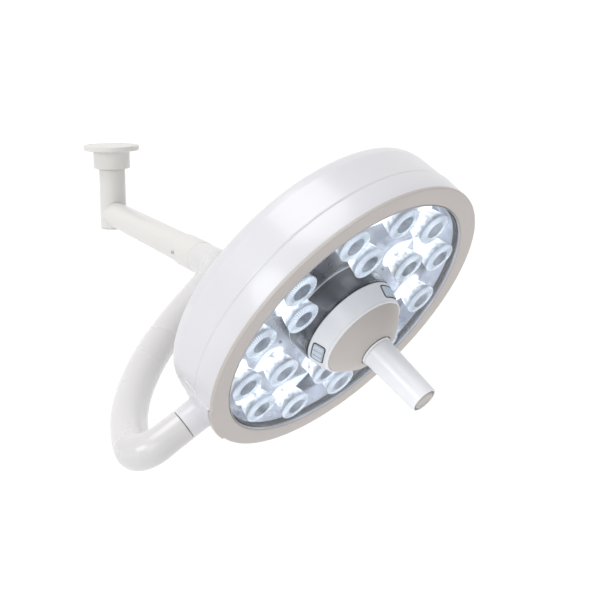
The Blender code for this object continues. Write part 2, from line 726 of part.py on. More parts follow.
# ---------------------------------------------------------------- optics and electronics
def build_chamber(shop, head):
    pane_low = PANE_FRONT - PANE_THICK
    step = OPENING_RADIUS - 0.0006
    lens = turned_mesh(
        [
            (step, PANE_FRONT),
            (step, LENS_FRONT),
            (LENS_RADIUS, LENS_FRONT),
            (LENS_RADIUS, LENS_FRONT - LENS_THICK),
            (step - PANE_THICK, LENS_FRONT - LENS_THICK),
            (step - PANE_THICK, pane_low),
            (HUB_BASE + 0.0008, pane_low),
            (HUB_BASE + 0.0008, PANE_FRONT),
        ],
        ROUND_LARGE,
    )
    shop.add("lens_cover", lens, "clear_lens", head)
    seal_top = LENS_FRONT - LENS_THICK - GAP
    seal = ring(LENS_RADIUS, OPENING_RADIUS + 0.0012, seal_top, SHELF_Z + GAP, ROUND_LARGE)
    shop.add("lens_gasket", seal, "black_rubber", head)
    baffle_in = OPENING_RADIUS - 0.0018
    baffle = ring(OPENING_RADIUS + 0.0002, baffle_in, seal_top, DISH_FLOOR_Z + 0.002, ROUND_LARGE)
    shop.add("light_baffle", baffle, "black_gloss", head)

    rim = baffle_in - 0.0004
    root = HUB_BASE + 0.0006
    dish = turned_mesh(
        [
            (rim, DISH_EDGE_Z),
            (rim, DISH_FLOOR_Z + 0.0060),
            (rim - 0.0050, DISH_FLOOR_Z - DISH_THICK),
            (root, DISH_FLOOR_Z - DISH_THICK),
            (root, DISH_FLOOR_Z),
            (rim - 0.0080, DISH_FLOOR_Z),
            (rim - 0.0028, DISH_FLOOR_Z + 0.0080),
            (rim - 0.0014, DISH_EDGE_Z),
        ],
        ROUND_LARGE,
    )
    shop.add("reflector_dish", dish, "reflector", head)

    hub_core = turned_mesh(
        [
            (HUB_BASE - 0.0006, FACE_Z + 0.0002),
            (HUB_BASE - 0.0006, pane_low - 0.0010),
            (HUB_BASE, pane_low - 0.0022),
            (HUB_BASE, CHASSIS_TOP + GAP),
            (HUB_BASE - 0.0040, CHASSIS_TOP + GAP),
            (HUB_BASE - 0.0040, FACE_Z + 0.0002),
        ],
        ROUND_LARGE,
    )
    shop.add("hub_core_ring", hub_core, "black_gloss", head)


def cluster_outline():
    """A three-lobed plate under a cluster: its lobes are the three modules."""
    lobe = 0.0235
    outer = [
        (OUTER_MODULES * math.cos(s * MODULE_SPREAD), OUTER_MODULES * math.sin(s * MODULE_SPREAD))
        for s in (-1.0, 1.0)
    ]
    points = arc_points((INNER_MODULES, 0.0), lobe, math.radians(120.0), math.radians(240.0), 4)
    points += arc_points(outer[0], lobe, math.radians(240.0), math.radians(365.0), 4)
    points += arc_points(outer[1], lobe, math.radians(-5.0), math.radians(120.0), 4)
    return points


def build_clusters(shop, head):
    """Six boards, each with three emitters under three clear moulded collimators."""
    centres = [
        (INNER_MODULES, 0.0),
        (OUTER_MODULES * math.cos(MODULE_SPREAD), OUTER_MODULES * math.sin(MODULE_SPREAD)),
        (OUTER_MODULES * math.cos(MODULE_SPREAD), -OUTER_MODULES * math.sin(MODULE_SPREAD)),
    ]
    board = outline_mesh(cluster_outline(), BOARD_THICK)
    chips = []
    for x, y in centres:
        chip = turned_mesh([(0.0, 0.0034), (0.0030, 0.0024), (0.0042, 0.0), (0.0, -0.0006)], 8)
        chips.append(moved(chip, Matrix.Translation((x, y, BOARD_THICK / 2.0))))
    board = joined(board, *chips)

    carrier_low = BOARD_THICK / 2.0 + GAP
    plate = outline_mesh(cluster_outline(), 0.0014)
    plate = moved(plate, Matrix.Translation((0.0, 0.0, carrier_low + 0.0007)))
    cups = []
    wells = []
    for x, y in centres:
        place = Matrix.Translation((x, y, carrier_low))
        cup = turned_mesh(
            [
                (0.0, MODULE_HEIGHT - CUP_DEPTH),
                (CUP_RADIUS * 0.6, MODULE_HEIGHT - CUP_DEPTH * 0.85),
                (CUP_RADIUS, MODULE_HEIGHT),
                (MODULE_RADIUS, MODULE_HEIGHT),
                (MODULE_RADIUS, MODULE_HEIGHT - 0.0030),
                (MODULE_BASE_R, 0.0004),
                (0.0, 0.0004),
            ],
            14,
        )
        cups.append(moved(cup, place))
        well = turned_mesh([(0.0, 0.0052), (0.0052, 0.0044), (0.0058, -0.004), (0.0, -0.004)], 8)
        wells.append(moved(well, place))
    optic = cut(joined(plate, *cups), *wells)

    lift = DISH_FLOOR_Z + 0.0016 + BOARD_THICK / 2.0
    seat = Matrix.Translation((0.0, 0.0, lift))
    for i in range(CLUSTERS):
        turn = Matrix.Rotation(CLUSTER_TURN + i * math.tau / CLUSTERS, 4, "Z")
        shop.add(f"led_board_{i + 1}", board, "led_board", head, turn @ seat)
        shop.add(f"led_optic_{i + 1}", optic, "optic", head, turn @ seat)


def build_electronics(shop, head):
    disc = ring(OPENING_RADIUS - 0.006, 0.030, CHASSIS_TOP, CHASSIS_TOP - CHASSIS_THICK, ROUND_MEDIUM)
    fins = []
    low = CHASSIS_TOP - CHASSIS_THICK
    for i in range(9):
        y = -0.112 + 0.028 * i
        half = min(0.150, math.sqrt(0.215 ** 2 - y * y) - 0.030)
        fin = box_mesh((2.0 * half, 0.0030, FIN_HEIGHT + 0.002))
        fins.append(moved(fin, Matrix.Translation((-0.030, y, low - FIN_HEIGHT / 2.0))))
    shop.add("chassis_heat_sink", joined(disc, *fins), "aluminium", head)
    board_z = low - FIN_HEIGHT - 0.0040
    board = box_mesh((0.150, 0.110, 0.0016))
    blocks = []
    for x, y, sx, sy, sz in (
        (-0.045, -0.025, 0.030, 0.034, 0.009),
        (0.000, 0.024, 0.040, 0.026, 0.008),
        (0.050, -0.020, 0.022, 0.050, 0.010),
        (0.045, 0.036, 0.030, 0.016, 0.007),
    ):
        block = box_mesh((sx, sy, sz), 0.0006, 1)
        blocks.append(moved(block, Matrix.Translation((x, y, -sz / 2.0))))
    driver = joined(board, *blocks)
    shop.add("driver_board", driver, "circuit_green", head,
             Matrix.Translation((-0.060, 0.0, board_z)))


# ---------------------------------------------------------------- hub and handle
def hub_radius(z):
    """Outer radius of the hub's tapered side at a height."""
    return HUB_BASE + (HUB_RIM - HUB_BASE) * (z - FACE_Z) / HUB_HEIGHT


def hub_shell(offset, thickness, low, high):
    """A slice of the hub's tapered wall, offset outwards, between two heights."""
    return turned_mesh(
        [
            (hub_radius(high) + offset, high),
            (hub_radius(low) + offset, low),
            (hub_radius(low) + offset - thickness, low),
            (hub_radius(high) + offset - thickness, high),
        ],
        ROUND_LARGE,
    )


def keypad_prism(angle, width, height, across=0.0, corner=KEYPAD_CORNER):
    """A radial bar with rounded corners that marks out a key or a window on the hub."""
    bar = box_mesh((0.030, width, height))
    obj = scratch(bar)
    edge = obj.modifiers.new("corners", "BEVEL")
    edge.width = corner
    edge.segments = 3
    edge.affect = "EDGES"
    edge.limit_method = "WEIGHT"
    shape = bmesh.new()
    shape.from_mesh(bar)
    layer = shape.edges.layers.float.new("bevel_weight_edge")
    for item in shape.edges:
        direction = item.verts[0].co - item.verts[1].co
        item[layer] = 1.0 if abs(direction.x) > 0.02 else 0.0
    shape.to_mesh(bar)
    shape.free()
    result = applied(obj)
    bpy.data.objects.remove(obj, do_unlink=True)
    middle = FACE_Z + HUB_HEIGHT * 0.5
    slant = math.atan2(HUB_BASE - HUB_RIM, HUB_HEIGHT)
    place = (
        Matrix.Rotation(angle, 4, "Z")
        @ Matrix.Translation((hub_radius(middle), 0.0, middle))
        @ Matrix.Rotation(-slant, 4, "Y")
        @ Matrix.Translation((0.0, across, 0.0))
    )
    return moved(result, place)


def build_hub(shop, head):
    top = FACE_Z + HUB_HEIGHT
    base = FACE_Z + 0.0006
    groove = top - 0.0040
    shell = turned_mesh(
        [
            (HUB_RIM - 0.0010, top),
            (HUB_RIM, top - 0.0010),
            (hub_radius(groove + 0.0006), groove + 0.0006),
            (hub_radius(groove) - 0.0008, groove),
            (hub_radius(groove - 0.0006), groove - 0.0006),
            (hub_radius(base + 0.0015), base + 0.0015),
            (hub_radius(base) - 0.0012, base),
            (HUB_BASE - 0.0040, base),
            (HUB_RIM - HUB_WALL, top - 0.0060),
            (HUB_RIM - HUB_WALL, top),
        ],
        ROUND_LARGE,
    )
    windows = [keypad_prism(a, KEYPAD_WIDTH, KEYPAD_HEIGHT) for a in KEYPAD_ANGLES]
    shop.add("hub_housing", cut(shell, *windows), "white_paint", head)

    low = FACE_Z + 0.0030
    high = top - 0.0045
    for side, angle in zip(("a", "b"), KEYPAD_ANGLES):
        frame = shared(
            hub_shell(0.0005, 0.0030, low, high),
            keypad_prism(angle, KEYPAD_WIDTH - 2 * GAP, KEYPAD_HEIGHT - 2 * GAP),
        )
        pitch = (KEYPAD_WIDTH - 0.0050) / 3.0
        slots = []
        for k in range(3):
            across = (k - 1) * pitch
            slots.append(keypad_prism(angle, pitch - 0.0014, KEYPAD_HEIGHT - 0.0060, across, 0.0022))
        shop.add(f"keypad_frame_{side}", cut(frame, *slots), "black_rubber", head)
        for k, label in enumerate(("dim", "power", "bright")):
            across = (k - 1) * pitch
            body = keypad_prism(angle, pitch - 0.0024, KEYPAD_HEIGHT - 0.0070, across, 0.0018)
            key = shared(hub_shell(0.0012, 0.0026, low, high), body)
            shop.add(f"key_{label}_{side}", key, "key_blue_grey", head)

    rim = HUB_RIM - HUB_WALL - GAP
    outer = []
    for i in range(5):
        share = i / 4.0
        radius = 0.0300 + (rim - 0.0300) * share
        outer.append((radius, DOME_TOP - (DOME_TOP - top) * share ** 1.8))
    under = [(r, z - 0.0030) for r, z in reversed(outer)]
    under[0] = (rim, top - 0.0030)
    shop.add("hub_face", turned_mesh(outer + under, ROUND_LARGE), "bezel_grey", head)

    boss = turned_mesh(
        [
            (0.0290, DOME_TOP - 0.0040),
            (0.0290, CHASSIS_TOP + 0.004),
            (0.0420, CHASSIS_TOP + 0.003),
            (0.0420, CHASSIS_TOP + GAP),
            (CORE_RADIUS + 0.0050, CHASSIS_TOP + GAP),
            (CORE_RADIUS + 0.0050, DOME_TOP - 0.0040),
        ],
        ROUND_SMALL,
    )
    shop.add("handle_socket", boss, "aluminium", head)
    bush = ring(CORE_RADIUS + 0.0047, CORE_RADIUS + 0.0004, DOME_TOP - 0.0060, FACE_Z, ROUND_SMALL)
    shop.add("focus_bush", bush, "bronze", head)


def build_handle(shop, head):
    """The core turns to focus the beam; the sleeve pulls off it; the end button releases it."""
    focus = shop.frame("focus_axis", Matrix.Translation((0.0, 0.0, HANDLE_START)), head)
    local = Matrix.Translation((0.0, 0.0, -HANDLE_START))
    core_end = HANDLE_END - 0.0080
    core = turned_mesh(
        [
            (0.0, core_end - 0.0200),
            (0.0125, core_end - 0.0200),
            (0.0125, core_end),
            (CORE_RADIUS - 0.0010, core_end),
            (CORE_RADIUS, core_end - 0.0010),
            (CORE_RADIUS, CHASSIS_TOP + 0.014),
            (0.0110, CHASSIS_TOP + 0.012),
            (0.0, CHASSIS_TOP + 0.012),
        ],
        ROUND_SMALL,
    )
    shop.add("focus_spindle", core, "aluminium", focus, local)
    base_ring = turned_mesh(
        [
            (HANDLE_BASE_R - 0.0005, HANDLE_START - GAP),
            (HANDLE_BASE_R + 0.0020, HANDLE_START - 0.0012),
            (HANDLE_BASE_R + 0.0025, DOME_TOP + GAP),
            (CORE_RADIUS + 0.0005, DOME_TOP + GAP),
            (CORE_RADIUS + 0.0005, HANDLE_START - GAP),
        ],
        ROUND_MEDIUM,
    )
    notches = []
    for angle in (0.0, math.pi):
        notch = box_mesh((0.010, 0.006, 0.0030))
        place = Matrix.Rotation(angle, 4, "Z")
        place = place @ Matrix.Translation((HANDLE_BASE_R + 0.0045, 0.0, HANDLE_START))
        notches.append(moved(notch, place))
    shop.add("handle_base_ring", cut(base_ring, *notches), "handle_white", focus, local)

    sleeve = turned_mesh(
        [
            (HANDLE_TIP_R - 0.0020, HANDLE_END),
            (HANDLE_TIP_R - 0.0006, HANDLE_END - 0.0006),
            (HANDLE_TIP_R, HANDLE_END - 0.0020),
            (HANDLE_BASE_R, HANDLE_START + 0.0080),
            (HANDLE_BASE_R + 0.0008, HANDLE_START),
            (CORE_RADIUS + 0.0005, HANDLE_START),
            (CORE_RADIUS + 0.0005, HANDLE_END - 0.0075),
            (0.0200, HANDLE_END - 0.0065),
            (0.0205, HANDLE_END),
        ],
        ROUND_MEDIUM,
    )
    shop.add("handle_sleeve", sleeve, "handle_white", focus, local)
    button = turned_mesh(
        [
            (0.0, HANDLE_END + 0.0012),
            (0.0120, HANDLE_END + 0.0008),
            (0.0158, HANDLE_END - 0.0006),
            (0.0160, HANDLE_END - 0.0040),
            (0.0120, HANDLE_END - 0.0040),
            (0.0120, core_end - 0.0100),
            (0.0, core_end - 0.0100),
        ],
        ROUND_SMALL,
    )
    shop.add("release_button", button, "bezel_grey", focus, local)


def build_head(shop, yoke):
    """The head tilts on the yoke. Its local x is the pivot direction and z the beam."""
    turn = Matrix((
        Vector((1.0, 0.0, 0.0)),
        Vector((0.0, math.sin(TILT), math.cos(TILT))),
        Vector((0.0, -math.cos(TILT), math.sin(TILT))),
    )).transposed().to_4x4()
    head = shop.frame("tilt_axis", Matrix.Translation((-YOKE_OFFSET, 0.0, 0.0)) @ turn, yoke)
    build_shells(shop, head)
    build_pivot(shop, head)
    build_chamber(shop, head)
    build_clusters(shop, head)
    build_electronics(shop, head)
    build_hub(shop, head)
    build_handle(shop, head)


def main():
    clear_scene()
    shop = Shop()
    build_mount(shop)
    arm = build_arm(shop)
    yoke = build_yoke(shop, arm)
    build_head(shop, yoke)
    bpy.context.view_layer.update()


main()
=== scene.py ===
"""Looks of the surgical light: fine surfaces, optics, materials, studio and camera.

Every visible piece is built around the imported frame. Lengths are metres. The head's own
frame has x along the tilt pivot, y across it and z along the light's beam.
"""

import json
import math

import bmesh
import bpy
from mathutils import Matrix, Vector


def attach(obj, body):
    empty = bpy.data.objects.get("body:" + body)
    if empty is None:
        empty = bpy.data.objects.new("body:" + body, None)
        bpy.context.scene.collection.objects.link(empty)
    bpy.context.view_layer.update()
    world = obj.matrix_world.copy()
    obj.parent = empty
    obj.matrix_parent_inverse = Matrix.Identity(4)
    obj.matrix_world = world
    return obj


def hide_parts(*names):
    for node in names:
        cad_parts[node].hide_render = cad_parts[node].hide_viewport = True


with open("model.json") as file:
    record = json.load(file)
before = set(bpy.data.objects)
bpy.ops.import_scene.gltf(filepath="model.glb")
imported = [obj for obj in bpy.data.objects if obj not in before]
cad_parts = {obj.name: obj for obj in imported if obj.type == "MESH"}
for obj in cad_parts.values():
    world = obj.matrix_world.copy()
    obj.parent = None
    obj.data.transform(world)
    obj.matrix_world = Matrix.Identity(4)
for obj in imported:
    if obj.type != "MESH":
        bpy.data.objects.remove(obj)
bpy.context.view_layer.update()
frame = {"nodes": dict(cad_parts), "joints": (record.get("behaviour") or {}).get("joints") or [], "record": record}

# ---------------------------------------------------------------- places from the frame
JOINTS = {joint["name"]: joint for joint in frame["joints"]}


def basis(origin, x_axis, z_axis):
    """A frame with the given origin, x direction and z direction."""
    x = Vector(x_axis).normalized()
    z = Vector(z_axis).normalized()
    y = z.cross(x)
    turn = Matrix((x, y, z)).transposed().to_4x4()
    return Matrix.Translation(origin) @ turn


PIVOT = Vector(JOINTS["head_tilt"]["axis"])
BEAM = Vector(JOINTS["focus_turn"]["axis"])
ARM_AXIS = Vector(JOINTS["yoke_roll"]["axis"])
ELBOW = Vector(JOINTS["yoke_roll"]["pos_m"])
HEAD = basis(JOINTS["head_tilt"]["pos_m"], PIVOT, BEAM)
YOKE = basis(ELBOW, PIVOT, PIVOT.cross(-ARM_AXIS))
ARM = basis((0.0, 0.0, ELBOW.z), (0.0, 1.0, 0.0), ARM_AXIS)
TOP = Matrix.Identity(4)
TILT = HEAD @ basis((0.0, 0.0, 0.0), (0.0, 1.0, 0.0), (1.0, 0.0, 0.0))


class Reach:
    """How far a CAD node reaches in a frame: radius about z, and height along z."""

    def __init__(self, node, matrix):
        inverse = matrix.inverted()
        points = [inverse @ v.co for v in frame["nodes"][node].data.vertices]
        radii = [math.hypot(p.x, p.y) for p in points]
        self.inner = min(radii)
        self.outer = max(radii)
        self.low = min(p.z for p in points)
        self.high = max(p.z for p in points)


BEZEL = Reach("bezel_ring", HEAD)
FRONT = Reach("front_ring", HEAD)
REAR = Reach("rear_shell", HEAD)
LENS = Reach("lens_cover", HEAD)
DISH = Reach("reflector_dish", HEAD)
CORE = Reach("hub_core_ring", HEAD)
HUB = Reach("hub_housing", HEAD)
DOME = Reach("hub_face", HEAD)
RING = Reach("handle_base_ring", HEAD)
GRIP = Reach("handle_sleeve", HEAD)
BUTTON = Reach("release_button", HEAD)
BAFFLE = Reach("light_baffle", HEAD)
COLLAR = Reach("arm_collar", ARM)
BEAM_TUBE = Reach("arm_tube", ARM)
DROP = Reach("drop_tube", TOP)
CAP = Reach("drop_tube_end_cap", TOP)
FLANGE = Reach("mounting_flange", TOP)
SADDLE = Reach("pivot_collar", TILT)

TAB_RISE = 0.0032                      # the bezel's tab and the pad below it stand this proud
R = BEZEL.outer - TAB_RISE
FACE = BEZEL.high
SEAM = FRONT.low
FINE = 256                             # steps round the large and the small turned pieces
MEDIUM = 128
SHARP = math.radians(32.0)             # edges sharper than this are creased

DISH_FLOOR = DISH.low + 0.0018         # upper face of the reflector sheet
CLUSTERS = 6
CLUSTER_TURN = math.radians(5.0)
INNER_MODULES = 0.485 * R
OUTER_MODULES = 0.735 * R
MODULE_SPREAD = math.radians(15.0)
CLUSTER_CENTRES = [
    (INNER_MODULES, 0.0),
    (OUTER_MODULES * math.cos(MODULE_SPREAD), OUTER_MODULES * math.sin(MODULE_SPREAD)),
    (OUTER_MODULES * math.cos(MODULE_SPREAD), -OUTER_MODULES * math.sin(MODULE_SPREAD)),
]
PAINTED_SPILL_LEVEL = 0.38                     # painted light, drawn as emission, on the dish close to a module
PAINTED_SPILL_CORE = 0.022
PAINTED_SPILL_FADE = 0.030
FLANK_LEVEL = 1.50                     # light from the low part of a collimator's side
SADDLE_RADIUS = 0.0268                 # the collar and the yoke's thin end
YOKE_RADIUS = 0.0312
ELBOW_RADIUS = 0.0335
KEYPAD_ANGLES = {"a": math.radians(-17.0), "b": math.radians(-150.0)}
HUB_TAPER = 0.0433 * R                 # the hub narrows by this over its height
HUB_HEIGHT = 0.1334 * R
YOKE_OFFSET = (HEAD.translation - ELBOW).dot(-PIVOT)
YOKE_END = ELBOW.x - COLLAR.high - 0.0004   # from the head to the yoke's end, along the arm


# ---------------------------------------------------------------- mesh helpers
def rounded(corners, closed, segments=4):
    """Points of an outline whose corners (r, z, fillet) are rounded by their fillets."""
    points = []
    count = len(corners)
    for i, (r, z, fillet) in enumerate(corners):
        corner = Vector((r, z))
        at_end = not closed and i in (0, count - 1)
        if fillet == 0.0 or at_end:
            points.append(corner)
            continue
        before = Vector(corners[i - 1][:2]) - corner
        after = Vector(corners[(i + 1) % count][:2]) - corner
        half = before.angle(after) / 2.0
        reach = min(fillet / math.tan(half), before.length * 0.49, after.length * 0.49)
        start = corner + before.normalized() * reach
        end = corner + after.normalized() * reach
        for k in range(segments + 1):
            t = k / segments
            points.append(start.lerp(corner, t).lerp(corner.lerp(end, t), t))
    return points


def finish_mesh(shape, name):
    """Turns a bmesh into a mesh with outward faces, smooth but for its sharp edges."""
    bmesh.ops.remove_doubles(shape, verts=shape.verts, dist=0.000005)
    bmesh.ops.recalc_face_normals(shape, faces=shape.faces)
    mesh = bpy.data.meshes.new(name)
    shape.to_mesh(mesh)
    shape.free()
    mesh.shade_smooth()
    mesh.set_sharp_from_angle(angle=SHARP)
    return mesh


def lathe(name, corners, steps=FINE, shape_by=None, segments=4):
    """Turns an outline of (r, z, fillet) about z. One that touches the axis is left open
    there, any other is closed. shape_by(angle, r, z) may move a point in or out."""
    on_axis = corners[0][0] == 0.0
    outline = rounded(corners, not on_axis, segments)
    shape = bmesh.new()
    rows = []
    for point in outline:
        if point.x < 1e-7:
            rows.append([shape.verts.new((0.0, 0.0, point.y))] * steps)
            continue
        row = []
        for k in range(steps):
            angle = math.tau * k / steps
            r, z = point
            if shape_by:
                r, z = shape_by(angle, r, z)
            row.append(shape.verts.new((r * math.cos(angle), r * math.sin(angle), z)))
        rows.append(row)
    pairs = list(zip(rows, rows[1:]))
    if not on_axis:
        pairs.append((rows[-1], rows[0]))
    for upper, lower in pairs:
        for k in range(steps):
            n = (k + 1) % steps
            corners_of_face = [upper[k], upper[n], lower[n], lower[k]]
            unique = list(dict.fromkeys(corners_of_face))
            if len(unique) > 2:
                shape.faces.new(unique)
    return finish_mesh(shape, name)


def plug(radius, high, low, steps):
    """A plain closed cylinder about z, to cut with."""
    return lathe("plug", [(0.0, high, 0.0), (radius, high, 0.0), (radius, low, 0.0), (0.0, low, 0.0)], steps)


def loft(name, rings):
    """A skin over rings of points with the same count, with both ends filled."""
    shape = bmesh.new()
    rows = [[shape.verts.new(point) for point in ring] for ring in rings]
    count = len(rows[0])
    for upper, lower in zip(rows, rows[1:]):
        for k in range(count):
            n = (k + 1) % count
            shape.faces.new([upper[k], upper[n], lower[n], lower[k]])
    shape.faces.new(rows[0])
    shape.faces.new(list(reversed(rows[-1])))
    return finish_mesh(shape, name)


def object_of(mesh):
    obj = bpy.data.objects.new(mesh.name, mesh)
    bpy.context.scene.collection.objects.link(obj)
    return obj


def evaluated_mesh(obj):
    bpy.context.view_layer.update()
    graph = bpy.context.evaluated_depsgraph_get()
    return bpy.data.meshes.new_from_object(obj.evaluated_get(graph))


def boolean(operation, mesh, others):
    """The mesh cut by, joined with or kept inside others, all in the same coordinates."""
    base = object_of(mesh)
    tools = [object_of(other) for other in others]
    for tool in tools:
        step = base.modifiers.new(operation.lower(), "BOOLEAN")
        step.operation = operation
        step.object = tool
        step.solver = "EXACT"
    result = evaluated_mesh(base)
    for obj in [base, *tools]:
        bpy.data.objects.remove(obj, do_unlink=True)
    result.materials.clear()
    result.shade_smooth()
    result.set_sharp_from_angle(angle=SHARP)
    return result


def bar(name, size, corner):
    """A box along x whose four long edges are rounded by corner."""
    length, width, height = size
    outline = rounded(
        [
            (-width / 2, -height / 2, corner),
            (width / 2, -height / 2, corner),
            (width / 2, height / 2, corner),
            (-width / 2, height / 2, corner),
        ],
        True,
        5,
    )
    ends = [[(x, p.x, p.y) for p in outline] for x in (-length / 2, length / 2)]
    return loft(name, ends)


def placed(mesh, matrix):
    mesh.transform(matrix)
    return mesh


def merged(name, meshes):
    """Several closed meshes as one mesh."""
    shape = bmesh.new()
    for mesh in meshes:
        shape.from_mesh(mesh)
    result = bpy.data.meshes.new(name)
    shape.to_mesh(result)
    shape.free()
    return result


def piece(name, mesh, body, material, slot, matrix, *nodes):
    """Puts a finished mesh in the scene on its body, in place of the CAD nodes named."""
    if not mesh.materials:
        mesh.materials.append(material)
    mesh.transform(matrix)
    obj = bpy.data.objects.new(name, mesh)
    bpy.context.scene.collection.objects.link(obj)
    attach(obj, body)
    if nodes:
        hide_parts(*nodes)
    return obj


# ---------------------------------------------------------------- materials
class Paint:
    """Builds one procedural material, node by node."""

    def __init__(self, name):
        self.material = bpy.data.materials.new(name)
        self.material.use_nodes = True
        self.nodes = self.material.node_tree.nodes
        self.links = self.material.node_tree.links
        self.shader = self.nodes["Principled BSDF"]
        self.place = self.nodes.new("ShaderNodeTexCoord").outputs["Object"]

    def set(self, **values):
        for key, value in values.items():
            self.shader.inputs[key.replace("_", " ")].default_value = value

    def stretched(self, scale):
        mapping = self.nodes.new("ShaderNodeMapping")
        mapping.inputs["Scale"].default_value = scale
        self.links.new(self.place, mapping.inputs["Vector"])
        return mapping.outputs["Vector"]

    def noise(self, scale, detail=3.0, roughness=0.5, place=None):
        node = self.nodes.new("ShaderNodeTexNoise")
        node.inputs["Scale"].default_value = scale
        node.inputs["Detail"].default_value = detail
        node.inputs["Roughness"].default_value = roughness
        self.links.new(place or self.place, node.inputs["Vector"])
        return node.outputs["Fac"]

    def tones(self, factor, low, high, start=0.35, end=0.65):
        """Blends two colours, or two greys, by a factor between start and end."""
        ramp = self.nodes.new("ShaderNodeValToRGB")
        ramp.color_ramp.elements[0].position = start
        ramp.color_ramp.elements[1].position = end
        ramp.color_ramp.elements[0].color = (*low, 1.0)
        ramp.color_ramp.elements[1].color = (*high, 1.0)
        self.links.new(factor, ramp.inputs["Fac"])
        return ramp.outputs["Color"]

    def range(self, factor, low, high):
        node = self.nodes.new("ShaderNodeMapRange")
        node.inputs["From Min"].default_value = 0.3
        node.inputs["From Max"].default_value = 0.7
        node.inputs["To Min"].default_value = low
        node.inputs["To Max"].default_value = high
        self.links.new(factor, node.inputs["Value"])
        return node.outputs["Result"]

    def painted_light(self, factor):
        """The light level painted on the mesh, made uneven by a factor."""
        level = self.nodes.new("ShaderNodeAttribute")
        level.attribute_name = "spill"
        uneven = self.nodes.new("ShaderNodeMath")
        uneven.operation = "MULTIPLY"
        self.links.new(level.outputs["Fac"], uneven.inputs[0])
        self.links.new(factor, uneven.inputs[1])
        return uneven.outputs["Value"]

    def bump(self, height, strength, distance):
        node = self.nodes.new("ShaderNodeBump")
        node.inputs["Strength"].default_value = strength
        node.inputs["Distance"].default_value = distance
        self.links.new(height, node.inputs["Height"])
        self.links.new(node.outputs["Normal"], self.shader.inputs["Normal"])

    def drive(self, **outputs):
        for key, output in outputs.items():
            self.links.new(output, self.shader.inputs[key.replace("_", " ")])


def shade(colour, factor):
    return tuple(min(1.0, c * factor) for c in colour)


def coated(name, colour, roughness, grain, depth, coat=0.0, spread=0.015):
    """Paint or moulded plastic: faint clouding, uneven gloss and a fine surface grain."""
    paint = Paint(name)
    clouds = paint.noise(5.0, 2.0)
    fine = paint.noise(grain, 2.0)
    wipes = paint.noise(9.0, 3.0)
    paint.drive(
        Base_Color=paint.tones(
            clouds, shade(colour, 1.0 - spread), shade(colour, 1.0 + spread / 2), 0.2, 0.8),
        Roughness=paint.range(wipes, roughness - 0.02, roughness + 0.03),
    )
    paint.bump(fine, 0.12, depth)
    paint.set(Coat_Weight=coat, Coat_Roughness=0.12)
    return paint.material


def metal(name, colour, roughness, stretch, depth):
    """Machined or rolled metal: fine lines along one direction and uneven gloss."""
    paint = Paint(name)
    lines = paint.noise(60.0, 4.0, 0.6, paint.stretched(stretch))
    clouds = paint.noise(9.0, 3.0)
    paint.drive(
        Base_Color=paint.tones(clouds, shade(colour, 0.93), shade(colour, 1.04)),
        Roughness=paint.range(lines, roughness - 0.06, roughness + 0.08),
    )
    paint.bump(lines, 0.2, depth)
    paint.set(Metallic=1.0)
    return paint.material


def rubber(name, colour, roughness):
    paint = Paint(name)
    paint.drive(
        Base_Color=paint.tones(paint.noise(40.0, 3.0), shade(colour, 0.8), shade(colour, 1.3)),
        Roughness=paint.range(paint.noise(25.0), roughness - 0.08, roughness + 0.08),
    )
    paint.bump(paint.noise(900.0, 2.0), 0.3, 0.0001)
    return paint.material


def circuit(name, colour):
    """Solder mask with copper tracks showing faintly through it."""
    paint = Paint(name)
    cells = paint.nodes.new("ShaderNodeTexBrick")
    cells.inputs["Scale"].default_value = 60.0
    paint.links.new(paint.place, cells.inputs["Vector"])
    paint.drive(
        Base_Color=paint.tones(cells.outputs["Fac"], colour, shade(colour, 1.8), 0.2, 0.8),
        Roughness=paint.range(paint.noise(30.0), 0.35, 0.5),
    )
    paint.bump(cells.outputs["Fac"], 0.2, 0.0001)
    return paint.material


def mirror_black(name):
    """Polished black that mirrors the lights round it."""
    paint = Paint(name)
    paint.drive(
        Base_Color=paint.tones(paint.noise(8.0), (0.030, 0.030, 0.034), (0.050, 0.049, 0.052)),
        Roughness=paint.range(paint.noise(24.0, 4.0), 0.14, 0.26),
    )
    paint.bump(paint.noise(60.0, 2.0), 0.08, 0.0002)
    paint.set(Coat_Weight=0.6, Coat_Roughness=0.05)
    return paint.material


def clear_cover(name):
    """A thin clear pane: it lets light straight through and mirrors at a slant."""
    paint = Paint(name)
    tree = paint.nodes
    through = tree.new("ShaderNodeBsdfTransparent")
    through.inputs["Color"].default_value = (0.97, 0.985, 1.0, 1.0)
    mirror = tree.new("ShaderNodeBsdfGlossy")
    mirror.inputs["Color"].default_value = (0.95, 0.97, 1.0, 1.0)
    paint.links.new(paint.range(paint.noise(14.0, 4.0), 0.02, 0.05), mirror.inputs["Roughness"])
    slant = tree.new("ShaderNodeLayerWeight")
    steep = tree.new("ShaderNodeMath")
    steep.operation = "POWER"
    steep.inputs[1].default_value = 4.0
    share = tree.new("ShaderNodeMath")
    share.operation = "MULTIPLY_ADD"
    share.inputs[1].default_value = 0.25
    share.inputs[2].default_value = 0.02
    mix = tree.new("ShaderNodeMixShader")
    paint.links.new(slant.outputs["Facing"], steep.inputs[0])
    paint.links.new(steep.outputs["Value"], share.inputs[0])
    paint.links.new(share.outputs["Value"], mix.inputs["Fac"])
    paint.links.new(through.outputs["BSDF"], mix.inputs[1])
    paint.links.new(mirror.outputs["BSDF"], mix.inputs[2])
    paint.links.new(mix.outputs["Shader"], tree["Material Output"].inputs["Surface"])
    tree.remove(paint.shader)
    return paint.material


